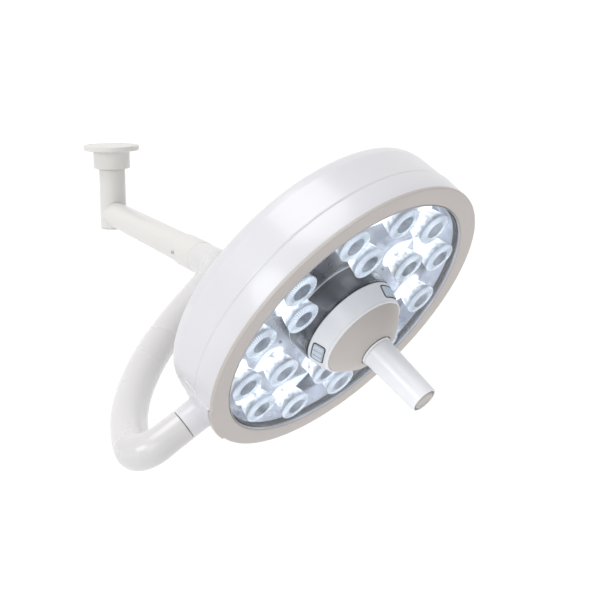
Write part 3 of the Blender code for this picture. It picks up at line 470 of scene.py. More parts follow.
def glowing(name, colour, glow, low, high, grain=260.0):
    """Clear moulded optic carrying light: it glows unevenly, as its facets catch it."""
    paint = Paint(name)
    facets = paint.noise(grain, 2.0, 0.7)
    clouds = paint.noise(42.0, 3.0)
    paint.drive(
        Base_Color=paint.tones(facets, shade(colour, 0.8), colour),
        Roughness=paint.range(clouds, 0.08, 0.22),
        Emission_Strength=paint.range(clouds, low, high),
    )
    paint.set(Emission_Color=(*glow, 1.0))
    paint.bump(facets, 0.3, 0.0003)
    return paint.material


def lit_flank(name, colour, glow):
    """Side of a collimator: brightest low down by its emitter, clearer towards its rim."""
    paint = Paint(name)
    facets = paint.noise(85.0, 4.0, 0.7)
    light = paint.painted_light(paint.range(facets, 0.10, 1.55))
    paint.drive(
        Base_Color=paint.tones(facets, shade(colour, 0.62), colour),
        Roughness=paint.range(facets, 0.08, 0.24),
        Emission_Strength=light,
    )
    paint.set(Emission_Color=(*glow, 1.0))
    paint.bump(facets, 0.4, 0.0008)
    return paint.material


def reflector_with_painted_spill(name, colour, glow):
    """Rolled reflector sheet, with painted light: emission where the light from each module would spill on it."""
    paint = Paint(name)
    streaks = paint.noise(26.0, 5.0, 0.65)
    clouds = paint.noise(11.0, 3.0)
    # Painted light: the sheet's emission follows the spill level painted on the dish's vertices.
    light = paint.painted_light(paint.range(streaks, 0.30, 1.35))
    paint.drive(
        Base_Color=paint.tones(clouds, shade(colour, 0.84), shade(colour, 1.10)),
        Roughness=paint.range(streaks, 0.22, 0.36),
        Emission_Strength=light,
    )
    paint.set(Metallic=1.0, Emission_Color=(*glow, 1.0))
    paint.bump(streaks, 0.35, 0.0006)
    return paint.material


LOOKS = {
    "white_paint": coated("white_moulding", (0.655, 0.655, 0.685), 0.30, 700.0, 0.00010, 0.25),
    "yoke_paint": coated("yoke_powder_coat", (0.62, 0.61, 0.61), 0.28, 420.0, 0.00016, 0.40),
    "arm_paint": coated("arm_powder_coat", (0.66, 0.65, 0.63), 0.34, 380.0, 0.00022, 0.1),
    "bezel_grey": coated("bezel_moulding", (0.50, 0.465, 0.445), 0.42, 900.0, 0.00008, 0.0, 0.04),
    "handle_white": coated("handle_moulding", (0.81, 0.82, 0.85), 0.30, 800.0, 0.00008, 0.2),
    "key_blue_grey": coated("key_membrane", (0.60, 0.68, 0.76), 0.40, 1100.0, 0.00006, 0.0, 0.05),
    "clear_lens": clear_cover("cover_glass"),
    # The reflector sheet glows with painted light where the modules' light spills on it.
    "reflector": reflector_with_painted_spill("reflector_sheet_painted_spill", (0.40, 0.42, 0.48), (0.93, 0.97, 1.0)),
    "aluminium": metal("machined_aluminium", (0.72, 0.73, 0.74), 0.34, (1.0, 0.08, 1.0), 0.0001),
    "steel": metal("turned_steel", (0.56, 0.56, 0.57), 0.26, (1.0, 1.0, 0.06), 0.00008),
    "bronze": metal("bearing_bronze", (0.66, 0.46, 0.22), 0.36, (0.2, 1.0, 1.0), 0.0001),
    "optic": glowing("optic_rim", (0.74, 0.81, 0.90), (0.88, 0.94, 1.0), 0.45, 1.05),
    # The board's emission is painted light: the modules' glow shown on the board round their feet.
    "led_board": glowing("board_painted_glow", (0.80, 0.86, 0.95), (0.93, 0.97, 1.0), 0.25, 0.8, 120.0),
    "black_gloss": mirror_black("polished_black"),
    "black_rubber": rubber("seal_rubber", (0.030, 0.030, 0.032), 0.7),
    "cable_black": rubber("cable_sheath", (0.035, 0.035, 0.038), 0.5),
    "circuit_green": circuit("solder_mask", (0.03, 0.16, 0.08)),
}
BAFFLE_BLACK = rubber("baffle_lining", (0.014, 0.014, 0.015), 0.70)


def dress_cad_nodes():
    """Gives every CAD node the procedural material of its slot."""
    for row in frame["record"]["subparts"]:
        node = frame["nodes"][row["node"]]
        node.data.materials.clear()
        node.data.materials.append(LOOKS[row["material_slot"]])


# ---------------------------------------------------------------- drum
def wall_radius(z):
    """Radius of the drum's side wall at a height."""
    if z >= SEAM:
        return R * (1.0 - 0.004 * (FACE - z) / (FACE - SEAM))
    edge = FACE - 0.360 * R
    return R * 0.990 - R * 0.007 * (SEAM - z) / (SEAM - edge)


def build_drum():
    white = LOOKS["white_paint"]
    gap = 0.0005
    wall = 0.0035
    back_edge = FACE - 0.360 * R
    edge_radius = wall_radius(back_edge)
    low = REAR.low
    shoulder = 0.022
    drum = lathe(
        "rear_cover",
        [
            (0.0, low + wall, 0.0),
            (0.55 * edge_radius, low + wall + 0.0020, 0.05),
            (edge_radius - wall - 0.006, back_edge - shoulder + wall, 0.012),
            (edge_radius - wall, back_edge, 0.004),
            (wall_radius(SEAM) - wall, SEAM - gap, 0.0004),
            (wall_radius(SEAM) - 0.0012, SEAM - gap, 0.0007),
            (wall_radius(SEAM) - 0.0006, SEAM - 0.004, 0.002),
            (edge_radius, back_edge, 0.012),
            (edge_radius - 0.004, back_edge - shoulder * 0.80, 0.012),
            (edge_radius * 0.80, back_edge - shoulder - 0.0035, 0.03),
            (0.50 * edge_radius, low + 0.0012, 0.06),
            (0.0, low, 0.0),
        ],
        FINE,
        segments=10,
    )
    piece("rear_cover", drum, "head", white, "white_paint", HEAD, "rear_shell")

    ring_inner = FRONT.inner
    front = lathe(
        "front_trim",
        [
            (R - 0.0012, BEZEL.low - 0.0004, 0.0006),
            (wall_radius(SEAM) + 0.0012, SEAM + gap, 0.0010),
            (R - 0.0045, SEAM + gap, 0.0004),
            (R - 0.0045, FACE - 0.0150, 0.001),
            (ring_inner, FACE - 0.0150, 0.0004),
            (ring_inner, FACE - 0.0125, 0.0004),
            (LENS.outer + 0.0006, FACE - 0.0125, 0.0004),
            (LENS.outer + 0.0006, BEZEL.low - 0.0004, 0.0004),
        ],
        FINE,
    )
    piece("front_trim", front, "head", white, "white_paint", HEAD, "front_ring")


def build_bezel():
    """Flat face ring. It stands a little proud of the drum on the pivot's side."""
    tab_half = 0.056 / R

    def swell(angle, r, z):
        off = abs((angle + math.pi) % math.tau - math.pi)
        share = min(1.0, max(0.0, (tab_half - off) / 0.012))
        if r > R - 0.004:
            return r + TAB_RISE * share, z
        return r, z

    ring = lathe(
        "bezel",
        [
            (R - 0.0006, FACE, 0.0022),
            (R, BEZEL.low, 0.0006),
            (BEZEL.inner + 0.0004, BEZEL.low, 0.0003),
            (BEZEL.inner + 0.0004, FACE - 0.0040, 0.0006),
            (BEZEL.inner + 0.0034, FACE, 0.0024),
        ],
        720,
        swell,
        6,
    )
    piece("bezel", ring, "head", LOOKS["bezel_grey"], "bezel_grey", HEAD, "bezel_ring")
    lip = lathe(
        "lens_lip",
        [
            (BEZEL.inner + 0.0003, LENS.high - 0.0002, 0.0003),
            (BEZEL.inner + 0.0003, LENS.high - 0.0034, 0.0002),
            (BEZEL.inner - 0.0002, LENS.high - 0.0034, 0.0001),
            (BEZEL.inner - 0.0002, LENS.high - 0.0002, 0.0001),
        ],
        FINE,
    )
    piece("lens_lip", lip, "head", LOOKS["white_paint"], "white_paint", HEAD)


def build_saddle():
    """Raised pad on the drum's wall with the short collar that meets the yoke."""
    half = 0.0560
    low = -0.0400
    high = BEZEL.low - 0.0010
    edge = 0.0022
    columns = 72
    rows = 40
    lift = 0.0030
    shape = bmesh.new()
    skins = []
    for side in (1.0, 0.0):
        grid = []
        for i in range(columns + 1):
            u = -1.0 + 2.0 * i / columns
            across = half * math.copysign(abs(u) ** 0.55, u)
            line = []
            for j in range(rows + 1):
                v = -1.0 + 2.0 * j / rows
                z = (low + high) / 2 + (high - low) / 2 * math.copysign(abs(v) ** 0.55, v)
                inset = min(half - abs(across), z - low, (high - z) * 4.0)
                t = min(1.0, max(0.0, inset / edge))
                rise = lift * math.sqrt(max(0.0, 1.0 - (1.0 - t) ** 2))
                radius = wall_radius(z) + (rise + 0.0001 if side else -0.0015)
                angle = across / R
                line.append(shape.verts.new((radius * math.cos(angle), radius * math.sin(angle), z)))
            grid.append(line)
        skins.append(grid)
        for i in range(columns):
            for j in range(rows):
                shape.faces.new([grid[i][j], grid[i + 1][j], grid[i + 1][j + 1], grid[i][j + 1]])
    outer, inner = skins
    border = [(i, 0) for i in range(columns)] + [(columns, j) for j in range(rows)]
    border += [(i, rows) for i in range(columns, 0, -1)] + [(0, j) for j in range(rows, 0, -1)]
    for (i, j), (m, n) in zip(border, border[1:] + border[:1]):
        shape.faces.new([outer[i][j], outer[m][n], inner[m][n], inner[i][j]])
    pad = finish_mesh(shape, "pad")
    root = R - 0.0030
    radius = SADDLE_RADIUS
    collar = lathe(
        "collar",
        [
            (radius - 0.0002, SADDLE.high, 0.0012),
            (radius, R + 0.0060, 0.006),
            (radius + 0.0016, root, 0.0),
            (0.0166, root, 0.0),
            (0.0166, SADDLE.high, 0.0005),
        ],
        MEDIUM,
    )
    collar = placed(collar, basis((0.0, 0.0, 0.0), (0.0, 1.0, 0.0), (1.0, 0.0, 0.0)))
    mesh = boolean("UNION", pad, [collar])
    piece("pivot_saddle", mesh, "head", LOOKS["white_paint"], "white_paint", HEAD, "pivot_collar")


# ---------------------------------------------------------------- optical chamber
def build_chamber():
    black = LOOKS["black_gloss"]
    pane = 0.0022
    step = BEZEL.inner - 0.0004
    seat = FACE - 0.0058
    lens = lathe(
        "cover_lens",
        [
            (step, LENS.high, 0.0008),
            (step, seat, 0.0003),
            (LENS.outer, seat, 0.0004),
            (LENS.outer, LENS.low, 0.0004),
            (step - pane, LENS.low, 0.0003),
            (step - pane, LENS.high - pane, 0.0006),
            (LENS.inner, LENS.high - pane, 0.0002),
            (LENS.inner, LENS.high, 0.0002),
        ],
        FINE,
    )
    piece("cover_lens", lens, "head", LOOKS["clear_lens"], "clear_lens", HEAD, "lens_cover")
    wall = lathe(
        "inner_wall",
        [
            (BAFFLE.outer, BAFFLE.high, 0.0003),
            (BAFFLE.outer, BAFFLE.low, 0.0003),
            (BAFFLE.inner, BAFFLE.low, 0.0003),
            (BAFFLE.inner, BAFFLE.high, 0.0003),
        ],
        FINE,
    )
    piece("inner_wall", wall, "head", BAFFLE_BLACK, "black_gloss", HEAD, "light_baffle")
    thick = 0.0016
    floor = DISH_FLOOR
    shoulder = DISH.outer - 0.0085
    rows = 44
    face = []
    for i in range(rows + 1):
        face.append((DISH.inner + (shoulder - DISH.inner) * i / rows, floor, 0.0))
    bend = 0.0070
    for i in range(1, 9):
        turn = math.radians(78.0) * i / 8
        face.append((shoulder + bend * math.sin(turn), floor + bend * (1.0 - math.cos(turn)), 0.0))
    face.append((DISH.outer - 0.0006, DISH.high - 0.0006, 0.0))
    rim = [
        (DISH.outer, DISH.high, 0.0),
        (DISH.outer, floor + 0.0060, 0.0),
        (DISH.outer - 0.0040, floor - thick, 0.0),
        (DISH.inner, floor - thick, 0.0),
    ]
    dish = lathe("dish", face + rim, 360)
    # Painted light: each dish vertex stores how much module light would spill on it. The level fades away from the
    # nearest module, and the reflector material shows it as emission.
    spill = dish.attributes.new("spill", "FLOAT", "POINT")
    lamps = module_places()
    for vertex, value in zip(dish.vertices, spill.data):
        gap = min(math.hypot(vertex.co.x - x, vertex.co.y - y) for x, y in lamps)
        value.value = PAINTED_SPILL_LEVEL * max(0.0, 1.0 - max(0.0, gap - PAINTED_SPILL_CORE) / PAINTED_SPILL_FADE) ** 2
    piece("dish", dish, "head", LOOKS["reflector"], "reflector", HEAD, "reflector_dish")
    build_dish_screws()
    core = lathe(
        "core_sleeve",
        [
            (CORE.outer - 0.0008, CORE.high, 0.0003),
            (CORE.outer - 0.0006, LENS.high - 0.0030, 0.0003),
            (CORE.outer, LENS.high - 0.0044, 0.0004),
            (CORE.outer, CORE.low, 0.0003),
            (CORE.inner, CORE.low, 0.0003),
            (CORE.inner, CORE.high, 0.0003),
        ],
        FINE,
    )
    piece("core_sleeve", core, "head", black, "black_gloss", HEAD, "hub_core_ring")
    foot = DISH_FLOOR + 0.0002
    trim = lathe(
        "core_foot_trim",
        [
            (CORE.outer + 0.0022, foot, 0.0005),
            (CORE.outer + 0.0018, foot + 0.0016, 0.0007),
            (CORE.outer + 0.0005, foot + 0.0018, 0.0003),
            (CORE.outer + 0.0005, foot, 0.0001),
        ],
        FINE,
    )
    piece("core_foot_trim", trim, "head", LOOKS["aluminium"], "aluminium", HEAD)


def module_places():
    """Each module's centre in the head's frame, as (x, y)."""
    places = []
    for i in range(CLUSTERS):
        turn = Matrix.Rotation(CLUSTER_TURN + i * math.tau / CLUSTERS, 2)
        for centre in CLUSTER_CENTRES:
            places.append(tuple(turn @ Vector(centre)))
    return places


def cap_screw(radius, height):
    """A domed cap screw with a hexagon socket, head up, seated at z = 0."""
    head = lathe(
        "screw",
        [
            (0.0, height, 0.0),
            (radius * 0.86, height * 0.96, radius * 0.2),
            (radius, height * 0.6, radius * 0.1),
            (radius, 0.0, 0.0),
            (0.0, 0.0, 0.0),
        ],
        48,
    )
    return boolean("DIFFERENCE", head, [plug(radius * 0.52, height * 1.5, height * 0.35, 6)])


def build_dish_screws():
    """Small screws that hold the boards: one inside and two outside each cluster."""
    spots = [(0.1085, -11.0), (0.2240, -24.0), (0.2240, 24.0)]
    screws = []
    for i in range(CLUSTERS):
        for radius, angle in spots:
            spin = CLUSTER_TURN + math.radians(angle) + i * math.tau / CLUSTERS
            place = Matrix.Translation((
                radius * math.cos(spin), radius * math.sin(spin), DISH_FLOOR + 0.0003))
            screws.append(placed(cap_screw(0.0026, 0.0022), place))
    piece("dish_screws", merged("dish_screws", screws), "head", LOOKS["steel"], "steel", HEAD)


def collimator(height, outer, hollow, base, teeth):
    """A tall clear moulded optic: glowing flank, fluted rim, and a hollow middle."""
    rim_in = hollow + 0.0014
    skirt = 0.0042

    def flutes(angle, r, z):
        wave = abs((teeth * angle / math.pi) % 2.0 - 1.0) - 0.5
        if z > height - 0.0010 and r > rim_in - 0.0001:
            return r, z + 0.0009 * wave
        if z > height - skirt - 0.0004 and r > outer - 0.0040:
            return r + 0.0008 * wave, z
        return r, z

    flank = []
    for i in range(10):
        share = i / 10
        curve = share ** 1.4
        flank.append((outer - 0.0010 + (base - outer) * curve, height - skirt - 0.0004
                      + (0.0010 - height + skirt) * share, 0.0))
    mesh = lathe(
        "optic",
        [
            (0.0, height - 0.0170, 0.0),
            (hollow * 0.40, height - 0.0165, 0.003),
            (hollow * 0.78, height - 0.0090, 0.004),
            (hollow, height - 0.0002, 0.0012),
            (rim_in, height - 0.0003, 0.0),
            (outer - 0.0014, height - 0.0004, 0.0),
            (outer, height - 0.0014, 0.0008),
            (outer, height - skirt, 0.0003),
            *flank,
            (base, 0.0009, 0.0008),
            (0.0, 0.0009, 0.0),
        ],
        teeth * 4,
        flutes,
        3,
    )
    level = mesh.attributes.new("spill", "FLOAT", "POINT")
    for vertex, value in zip(mesh.vertices, level.data):
        depth = (height - vertex.co.z) / height
        value.value = FLANK_LEVEL * min(1.0, max(0.0, (depth - 0.10) / 0.45)) ** 1.3
    return mesh


def module_zone(height, hollow, teeth):
    """Which of crest, flank, cup and groove a face of a collimator belongs to."""

    def zone(centre):
        radius = math.hypot(centre.x, centre.y)
        if radius < hollow + 0.0006 and centre.z > 0.002:
            return 2
        if centre.z < height - 0.0043:
            return 1
        wave = (teeth * math.atan2(centre.y, centre.x) / math.pi) % 2.0
        return 0 if 0.5 < wave < 1.5 else 3

    return zone


def trefoil(radius, thickness, name):
    """A board outline of three rounded lobes, one round each module of a cluster."""
    middle = sum(x for x, _ in CLUSTER_CENTRES) / len(CLUSTER_CENTRES)
    steps = 144
    outline = []
    for k in range(steps):
        ray = Vector((math.cos(math.tau * k / steps), math.sin(math.tau * k / steps)))
        far = 0.0
        for x, y in CLUSTER_CENTRES:
            along = ray.x * (x - middle) + ray.y * y
            across = ray.x * y - ray.y * (x - middle)
            if abs(across) < radius:
                far = max(far, along + math.sqrt(radius * radius - across * across))
        outline.append((middle + ray.x * far, ray.y * far))
    levels = [0.0, thickness]
    return loft(name, [[(x, y, z) for x, y in outline] for z in levels])


def build_modules():
    flank = lit_flank("optic_flank", (0.42, 0.48, 0.58), (0.95, 0.98, 1.0))
    # The cup and the grooves are the clear moulding in dark copies of its colour: painted shade in the hollow
    # middle and between the rim's teeth.
    cup = glowing("optic_cup_painted_shade", (0.14, 0.17, 0.23), (0.85, 0.92, 1.0), 0.00, 0.30, 120.0)
    groove = glowing("optic_groove_painted_shade", (0.16, 0.19, 0.25), (0.80, 0.88, 1.0), 0.0, 0.08, 200.0)
    looks = (LOOKS["optic"], flank, cup, groove)
    floor = DISH_FLOOR + 0.0028
    height = LENS.high - 0.0022 - 0.0007 - floor
    hollow = 0.0155
    teeth = 48
    for i in range(CLUSTERS):
        turn = Matrix.Rotation(CLUSTER_TURN + i * math.tau / CLUSTERS, 4, "Z")
        lenses = []
        for x, y in CLUSTER_CENTRES:
            mesh = collimator(height, 0.0288, hollow, 0.0200, teeth)
            paint_by(mesh, looks, module_zone(height, hollow, teeth))
            lenses.append(placed(mesh, Matrix.Translation((x, y, floor))))
        whole = merged(f"collimators_{i + 1}", lenses)
        for material in looks:
            whole.materials.append(material)
        piece(f"collimators_{i + 1}", whole, "head", looks[0], "optic", HEAD @ turn, f"led_optic_{i + 1}")
        board = placed(trefoil(0.0262, 0.0018, "board"), Matrix.Translation((0.0, 0.0, DISH_FLOOR + 0.0006)))
        piece(f"lamp_board_{i + 1}", board, "head", LOOKS["led_board"], "led_board", HEAD @ turn,
              f"led_board_{i + 1}")


def paint_by(mesh, materials, rule):
    """Gives each face the material whose number rule(centre of the face) returns."""
    for material in materials:
        mesh.materials.append(material)
    for face in mesh.polygons:
        face.material_index = rule(face.center)


# ---------------------------------------------------------------- hub
def hub_radius(z):
    """Radius of the hub's tapered side at a height."""
    return CORE.outer - HUB_TAPER * (z - FACE) / HUB_HEIGHT


def hub_slice(offset, thickness, low, high, name):
    return lathe(
        name,
        [
            (hub_radius(high) + offset, high, 0.0),
            (hub_radius(low) + offset, low, 0.0),
            (hub_radius(low) + offset - thickness, low, 0.0),
            (hub_radius(high) + offset - thickness, high, 0.0),
        ],
        FINE,
    )


def window_bar(angle, width, height, corner, across=0.0):
    """A radial bar that marks out a window or a key on the hub's side."""
    middle = FACE + HUB_HEIGHT / 2
    slant = math.atan2(HUB_TAPER, HUB_HEIGHT)
    place = (
        Matrix.Rotation(angle, 4, "Z")
        @ Matrix.Translation((hub_radius(middle), 0.0, middle))
        @ Matrix.Rotation(-slant, 4, "Y")
        @ Matrix.Translation((0.0, across, 0.0))
    )
    return placed(bar("bar", (0.030, width, height), corner), place)


def build_hub():
    top = HUB.high
    base = HUB.low
    groove = top - 0.0042
    rim = hub_radius(top)
    width = 0.042
    tall = 0.024
    shell = lathe(
        "hub_cover",
        [
            (rim - 0.0006, top, 0.0010),
            (hub_radius(groove + 0.0007), groove + 0.0007, 0.0003),
            (hub_radius(groove) - 0.0009, groove, 0.0002),
            (hub_radius(groove - 0.0007), groove - 0.0007, 0.0003),
            (hub_radius(base + 0.0015), base + 0.0015, 0.0010),
            (hub_radius(base) - 0.0016, base, 0.0006),
            (HUB.inner, base, 0.0),
            (DOME.outer + 0.0004, top - 0.0060, 0.0),
            (DOME.outer + 0.0004, top, 0.0004),
        ],
        FINE,
    )
    windows = [window_bar(a, width, tall, 0.0062) for a in KEYPAD_ANGLES.values()]
    shell = boolean("DIFFERENCE", shell, windows)
    piece("hub_cover", shell, "head", LOOKS["handle_white"], "white_paint", HEAD, "hub_housing")

    low = FACE + 0.0030
    high = top - 0.0045
    pitch = (width - 0.0050) / 3.0
    for side, angle in KEYPAD_ANGLES.items():
        line = 0.0019
        outline = boolean(
            "INTERSECT",
            hub_slice(0.0006, 0.0030, low, high, "slice"),
            [window_bar(angle, width - 0.0008, tall - 0.0008, 0.0060)],
        )
        hole = window_bar(angle, width - 2 * line, tall - 2 * line, 0.0045)
        outline = boolean("DIFFERENCE", outline, [hole])
        piece(f"keypad_outline_{side}", outline, "head", LOOKS["black_rubber"], "black_rubber",
              HEAD, f"keypad_frame_{side}")
        web = boolean(
            "INTERSECT",
            hub_slice(0.0003, 0.0024, low, high, "slice"),
            [window_bar(angle, width - 2 * line - 0.0004, tall - 2 * line - 0.0004, 0.0043)],
        )
        slots = [
            window_bar(angle, pitch - 0.0014, tall - 0.0060, 0.0023, (k - 1) * pitch)
            for k in range(3)
        ]
        web = boolean("DIFFERENCE", web, slots)
        piece(f"keypad_web_{side}", web, "head", LOOKS["key_blue_grey"], "key_blue_grey", HEAD)
        for k, label in enumerate(("dim", "power", "bright")):
            key = boolean(
                "INTERSECT",
                hub_slice(0.0012, 0.0024, low, high, "slice"),
                [window_bar(angle, pitch - 0.0024, tall - 0.0070, 0.0019, (k - 1) * pitch)],
            )
            piece(f"keytop_{label}_{side}", key, f"key_{label}_{side}", LOOKS["key_blue_grey"],
                  "key_blue_grey", HEAD, f"key_{label}_{side}")

    face = [(r, z, 0.0) for r, z in dome_points(24)]
    thick = 0.0028
    under = [(r, z - thick, 0.0) for r, z in reversed(dome_points(8))]
    under[0] = (DOME.outer, top - 0.0030, 0.0)
    dome = lathe("dome", face + under, FINE)
    piece("dome", dome, "head", LOOKS["bezel_grey"], "bezel_grey", HEAD, "hub_face")


def dome_points(count):
    """The domed face from its middle hole out to its rim."""
    top = DOME.high
    rim_height = HUB.high
    points = []
    for i in range(count + 1):
        share = i / count
        radius = DOME.inner + (DOME.outer - DOME.inner) * share
        points.append((radius, top - (top - rim_height) * share ** 1.8))
    return points


# ---------------------------------------------------------------- handle
def build_handle():
    white = LOOKS["handle_white"]
    start = GRIP.low
    end = GRIP.high
    tip = 0.0233
    base = 0.0262
    bore = GRIP.inner

    def notched(angle, r, z):
        off = abs((angle + math.pi / 2) % math.pi - math.pi / 2)
        if z > RING.high - 0.0016 and r > base - 0.002 and off < 0.11:
            return r - 0.0030, z
        return r, z

    ring = lathe(
        "handle_collar",
        [
            (base - 0.0002, RING.high, 0.0006),
            (RING.outer - 0.0008, RING.high - 0.0010, 0.0010),
            (RING.outer, RING.low, 0.0006),
            (RING.inner, RING.low, 0.0),
            (RING.inner, RING.high, 0.0003),
        ],
        192,
        notched,
    )
    piece("handle_collar", ring, "handle_core", white, "handle_white", HEAD, "handle_base_ring")
    grip = lathe(
        "grip",
        [
            (tip - 0.0030, end, 0.0004),
            (tip, end - 0.0002, 0.0020),
            (base, start + 0.0100, 0.030),
            (base + 0.0008, start + 0.0020, 0.004),
            (base + 0.0006, start, 0.0006),
            (bore, start, 0.0004),
            (bore, end - 0.0078, 0.0),
            (tip - 0.0030, end - 0.0070, 0.0),
        ],
        MEDIUM,
        segments=8,
    )
    piece("grip", grip, "handle_sleeve", white, "handle_white", HEAD, "handle_sleeve")
    rim = 0.0172
    cap = lathe(
        "button_cap",
        [
            (0.0, BUTTON.high - 0.0010, 0.0),
            (rim * 0.66, BUTTON.high - 0.0010, 0.0006),
            (rim * 0.74, BUTTON.high, 0.0008),
            (rim * 0.88, BUTTON.high, 0.0010),
            (rim, end - 0.0008, 0.0012),
            (rim, end - 0.0042, 0.0002),
            (BUTTON.outer - 0.0040, end - 0.0042, 0.0),
            (BUTTON.outer - 0.0040, BUTTON.low, 0.0004),
            (0.0, BUTTON.low, 0.0),
        ],
        MEDIUM,
        segments=6,
    )
    piece("button_cap", cap, "release_button", LOOKS["bezel_grey"], "bezel_grey", HEAD,
          "release_button")


# ---------------------------------------------------------------- yoke, arm and drop tube
def yoke_line(density):
    """Centre line from the pivot to the arm, as (along the pivot, towards the arm, knot).

    The knot counts evenly through each stretch. The tube's radius follows it.
    """
    place = Vector((1.1275 * R, 0.0))
    heading = 0.0
    knot = 0.0
    points = [(place.x, place.y, knot)]

    def stretch(length, bend, knots):
        nonlocal place, heading, knot
        count = max(2, int(length * density))
        half = abs(bend) / count / 2
        chord = length / count
        if bend:
            chord *= math.sin(half) / half
        for _ in range(count):
            heading += bend / count / 2
            place = place + Vector((math.cos(heading), math.sin(heading))) * chord
            heading += bend / count / 2
            knot += knots / count
            points.append((place.x, place.y, knot))

    turn = math.radians(97.7)
    arc = math.radians(55.0)
    elbow = 0.301 * R
    stretch(0.157 * R, 0.0, 2)
    stretch(0.142 * R * turn, turn, 9)
    stretch(1.785 * R * arc, arc, 8)
    elbow_shift = -elbow * (1.0 - math.sin(heading))
    stretch((YOKE_OFFSET - elbow_shift - place.x) / math.cos(heading), 0.0, 2)
    stretch(elbow * (heading - math.pi / 2), math.pi / 2 - heading, 6)
    stretch(YOKE_END - place.y, 0.0, 2)
    return points


def build_yoke():
    line = yoke_line(160.0)
    flat = [Vector((x - YOKE_OFFSET, y, 0.0)) for x, y, _ in line]
    lengths = [0.0]
    for a, b in zip(flat, flat[1:]):
        lengths.append(lengths[-1] + (b - a).length)
    total = lengths[-1]
    rings = []
    around = 96
    thin = SADDLE_RADIUS
    for i, (_, _, knot) in enumerate(line):
        before = flat[max(0, i - 1)]
        after = flat[min(len(flat) - 1, i + 1)]
        along = (after - before).normalized()
        side = Vector((-along.y, along.x, 0.0))
        grow = min(1.0, knot / 11)
        swell = max(0.0, (knot - 19) / 10)
        radius = thin + (YOKE_RADIUS - thin) * grow * grow * (3 - 2 * grow)
        radius += (ELBOW_RADIUS - YOKE_RADIUS) * swell
        rings.append((flat[i], side, radius))
    skin = []
    fillet = 0.0012
    for index, end in ((0, -1), (len(rings) - 1, 1)):
        centre, side, radius = rings[index]
        away = Vector((side.y, -side.x, 0.0)) * end
        faces = []
        for k in range(5):
            angle = math.pi / 2 * k / 4
            faces.append((centre - away * fillet * (1 - math.sin(angle)), side,
                          radius - fillet * (1 - math.cos(angle))))
        if end < 0:
            start_rings = list(reversed(faces))
        else:
            end_rings = faces
    clear = 0.004
    inner = [ring for ring, s in zip(rings, lengths) if clear < s < total - clear]
    for centre, side, radius in start_rings + inner + end_rings:
        skin.append([
            centre + side * (radius * math.cos(math.tau * k / around))
            + Vector((0.0, 0.0, radius * math.sin(math.tau * k / around)))
            for k in range(around)
        ])
    mesh = loft("yoke_casting", skin)
    piece("yoke_casting", mesh, "yoke", LOOKS["yoke_paint"], "yoke_paint", YOKE, "yoke_tube")


def build_arm():
    paint = LOOKS["arm_paint"]
    tube = BEAM_TUBE.outer
    collar = lathe(
        "arm_sleeve",
        [
            (COLLAR.outer - 0.0004, COLLAR.high, 0.0018),
            (COLLAR.outer, COLLAR.low + 0.003, 0.002),
            (COLLAR.outer - 0.0018, COLLAR.low, 0.0012),
            (tube + 0.0004, COLLAR.low, 0.0003),
            (tube + 0.0004, COLLAR.low + 0.0304, 0.0),
            (COLLAR.inner, COLLAR.low + 0.0304, 0.0),
            (COLLAR.inner, COLLAR.high, 0.0005),
        ],
        MEDIUM,
    )
    seats = {}
    holes = []
    for side, sign in (("left", 1.0), ("right", -1.0)):
        seats[side] = basis(
            (sign * (COLLAR.outer + 0.0004), 0.0, COLLAR.low + 0.015), (0.0, 0.0, 1.0), (sign, 0.0, 0.0))
        holes.append(placed(plug(0.0026, 0.010, -0.008, 32), seats[side]))
    collar = boolean("DIFFERENCE", collar, holes)
    piece("arm_sleeve", collar, "arm", paint, "arm_paint", ARM, "arm_collar")
    for side, seat in seats.items():
        screw = merged(f"cap_screw_{side}", [
            cap_screw(0.0042, 0.0030),
            lathe("shank", [(0.0, -0.0001, 0.0), (0.0022, -0.0001, 0.0),
                            (0.0022, -0.0060, 0.0004), (0.0, -0.0060, 0.0)], 32),
        ])
        piece(f"cap_screw_{side}", screw, "arm", LOOKS["steel"], "steel", ARM @ seat,
              f"collar_screw_{side}")
    beam = lathe(
        "arm_beam",
        [
            (tube, BEAM_TUBE.high, 0.0006),
            (tube, 0.0, 0.0),
            (tube - 0.004, 0.0, 0.0),
            (tube - 0.004, BEAM_TUBE.high, 0.0004),
        ],
        MEDIUM,
    )
    cope = plug(DROP.outer + 0.0004, ELBOW.z + 0.1, ELBOW.z - 0.1, MEDIUM)
    beam = boolean("DIFFERENCE", placed(beam, ARM), [cope])
    piece("arm_beam", beam, "arm", paint, "arm_paint", TOP, "arm_tube")
    drop = lathe(
        "drop_pipe",
        [
            (DROP.outer, DROP.high, 0.0005),
            (DROP.outer, DROP.low, 0.0008),
            (DROP.inner, DROP.low, 0.0003),
            (DROP.inner, DROP.high, 0.0003),
        ],
        MEDIUM,
    )
    piece("drop_pipe", drop, "arm", paint, "arm_paint", TOP, "drop_tube")
    cap = lathe(
        "foot_cap",
        [
            (0.0, CAP.high, 0.0),
            (DROP.inner - 0.0004, CAP.high, 0.0006),
            (DROP.inner - 0.0004, DROP.low - 0.0004, 0.0),
            (DROP.outer, DROP.low - 0.0004, 0.0004),
            (DROP.outer - 0.0006, DROP.low - 0.0030, 0.0016),
            (DROP.outer * 0.6, CAP.low + 0.0006, 0.012),
            (0.0, CAP.low, 0.0),
        ],
        MEDIUM,
        segments=6,
    )
    piece("foot_cap", cap, "arm", paint, "arm_paint", TOP, "drop_tube_end_cap")


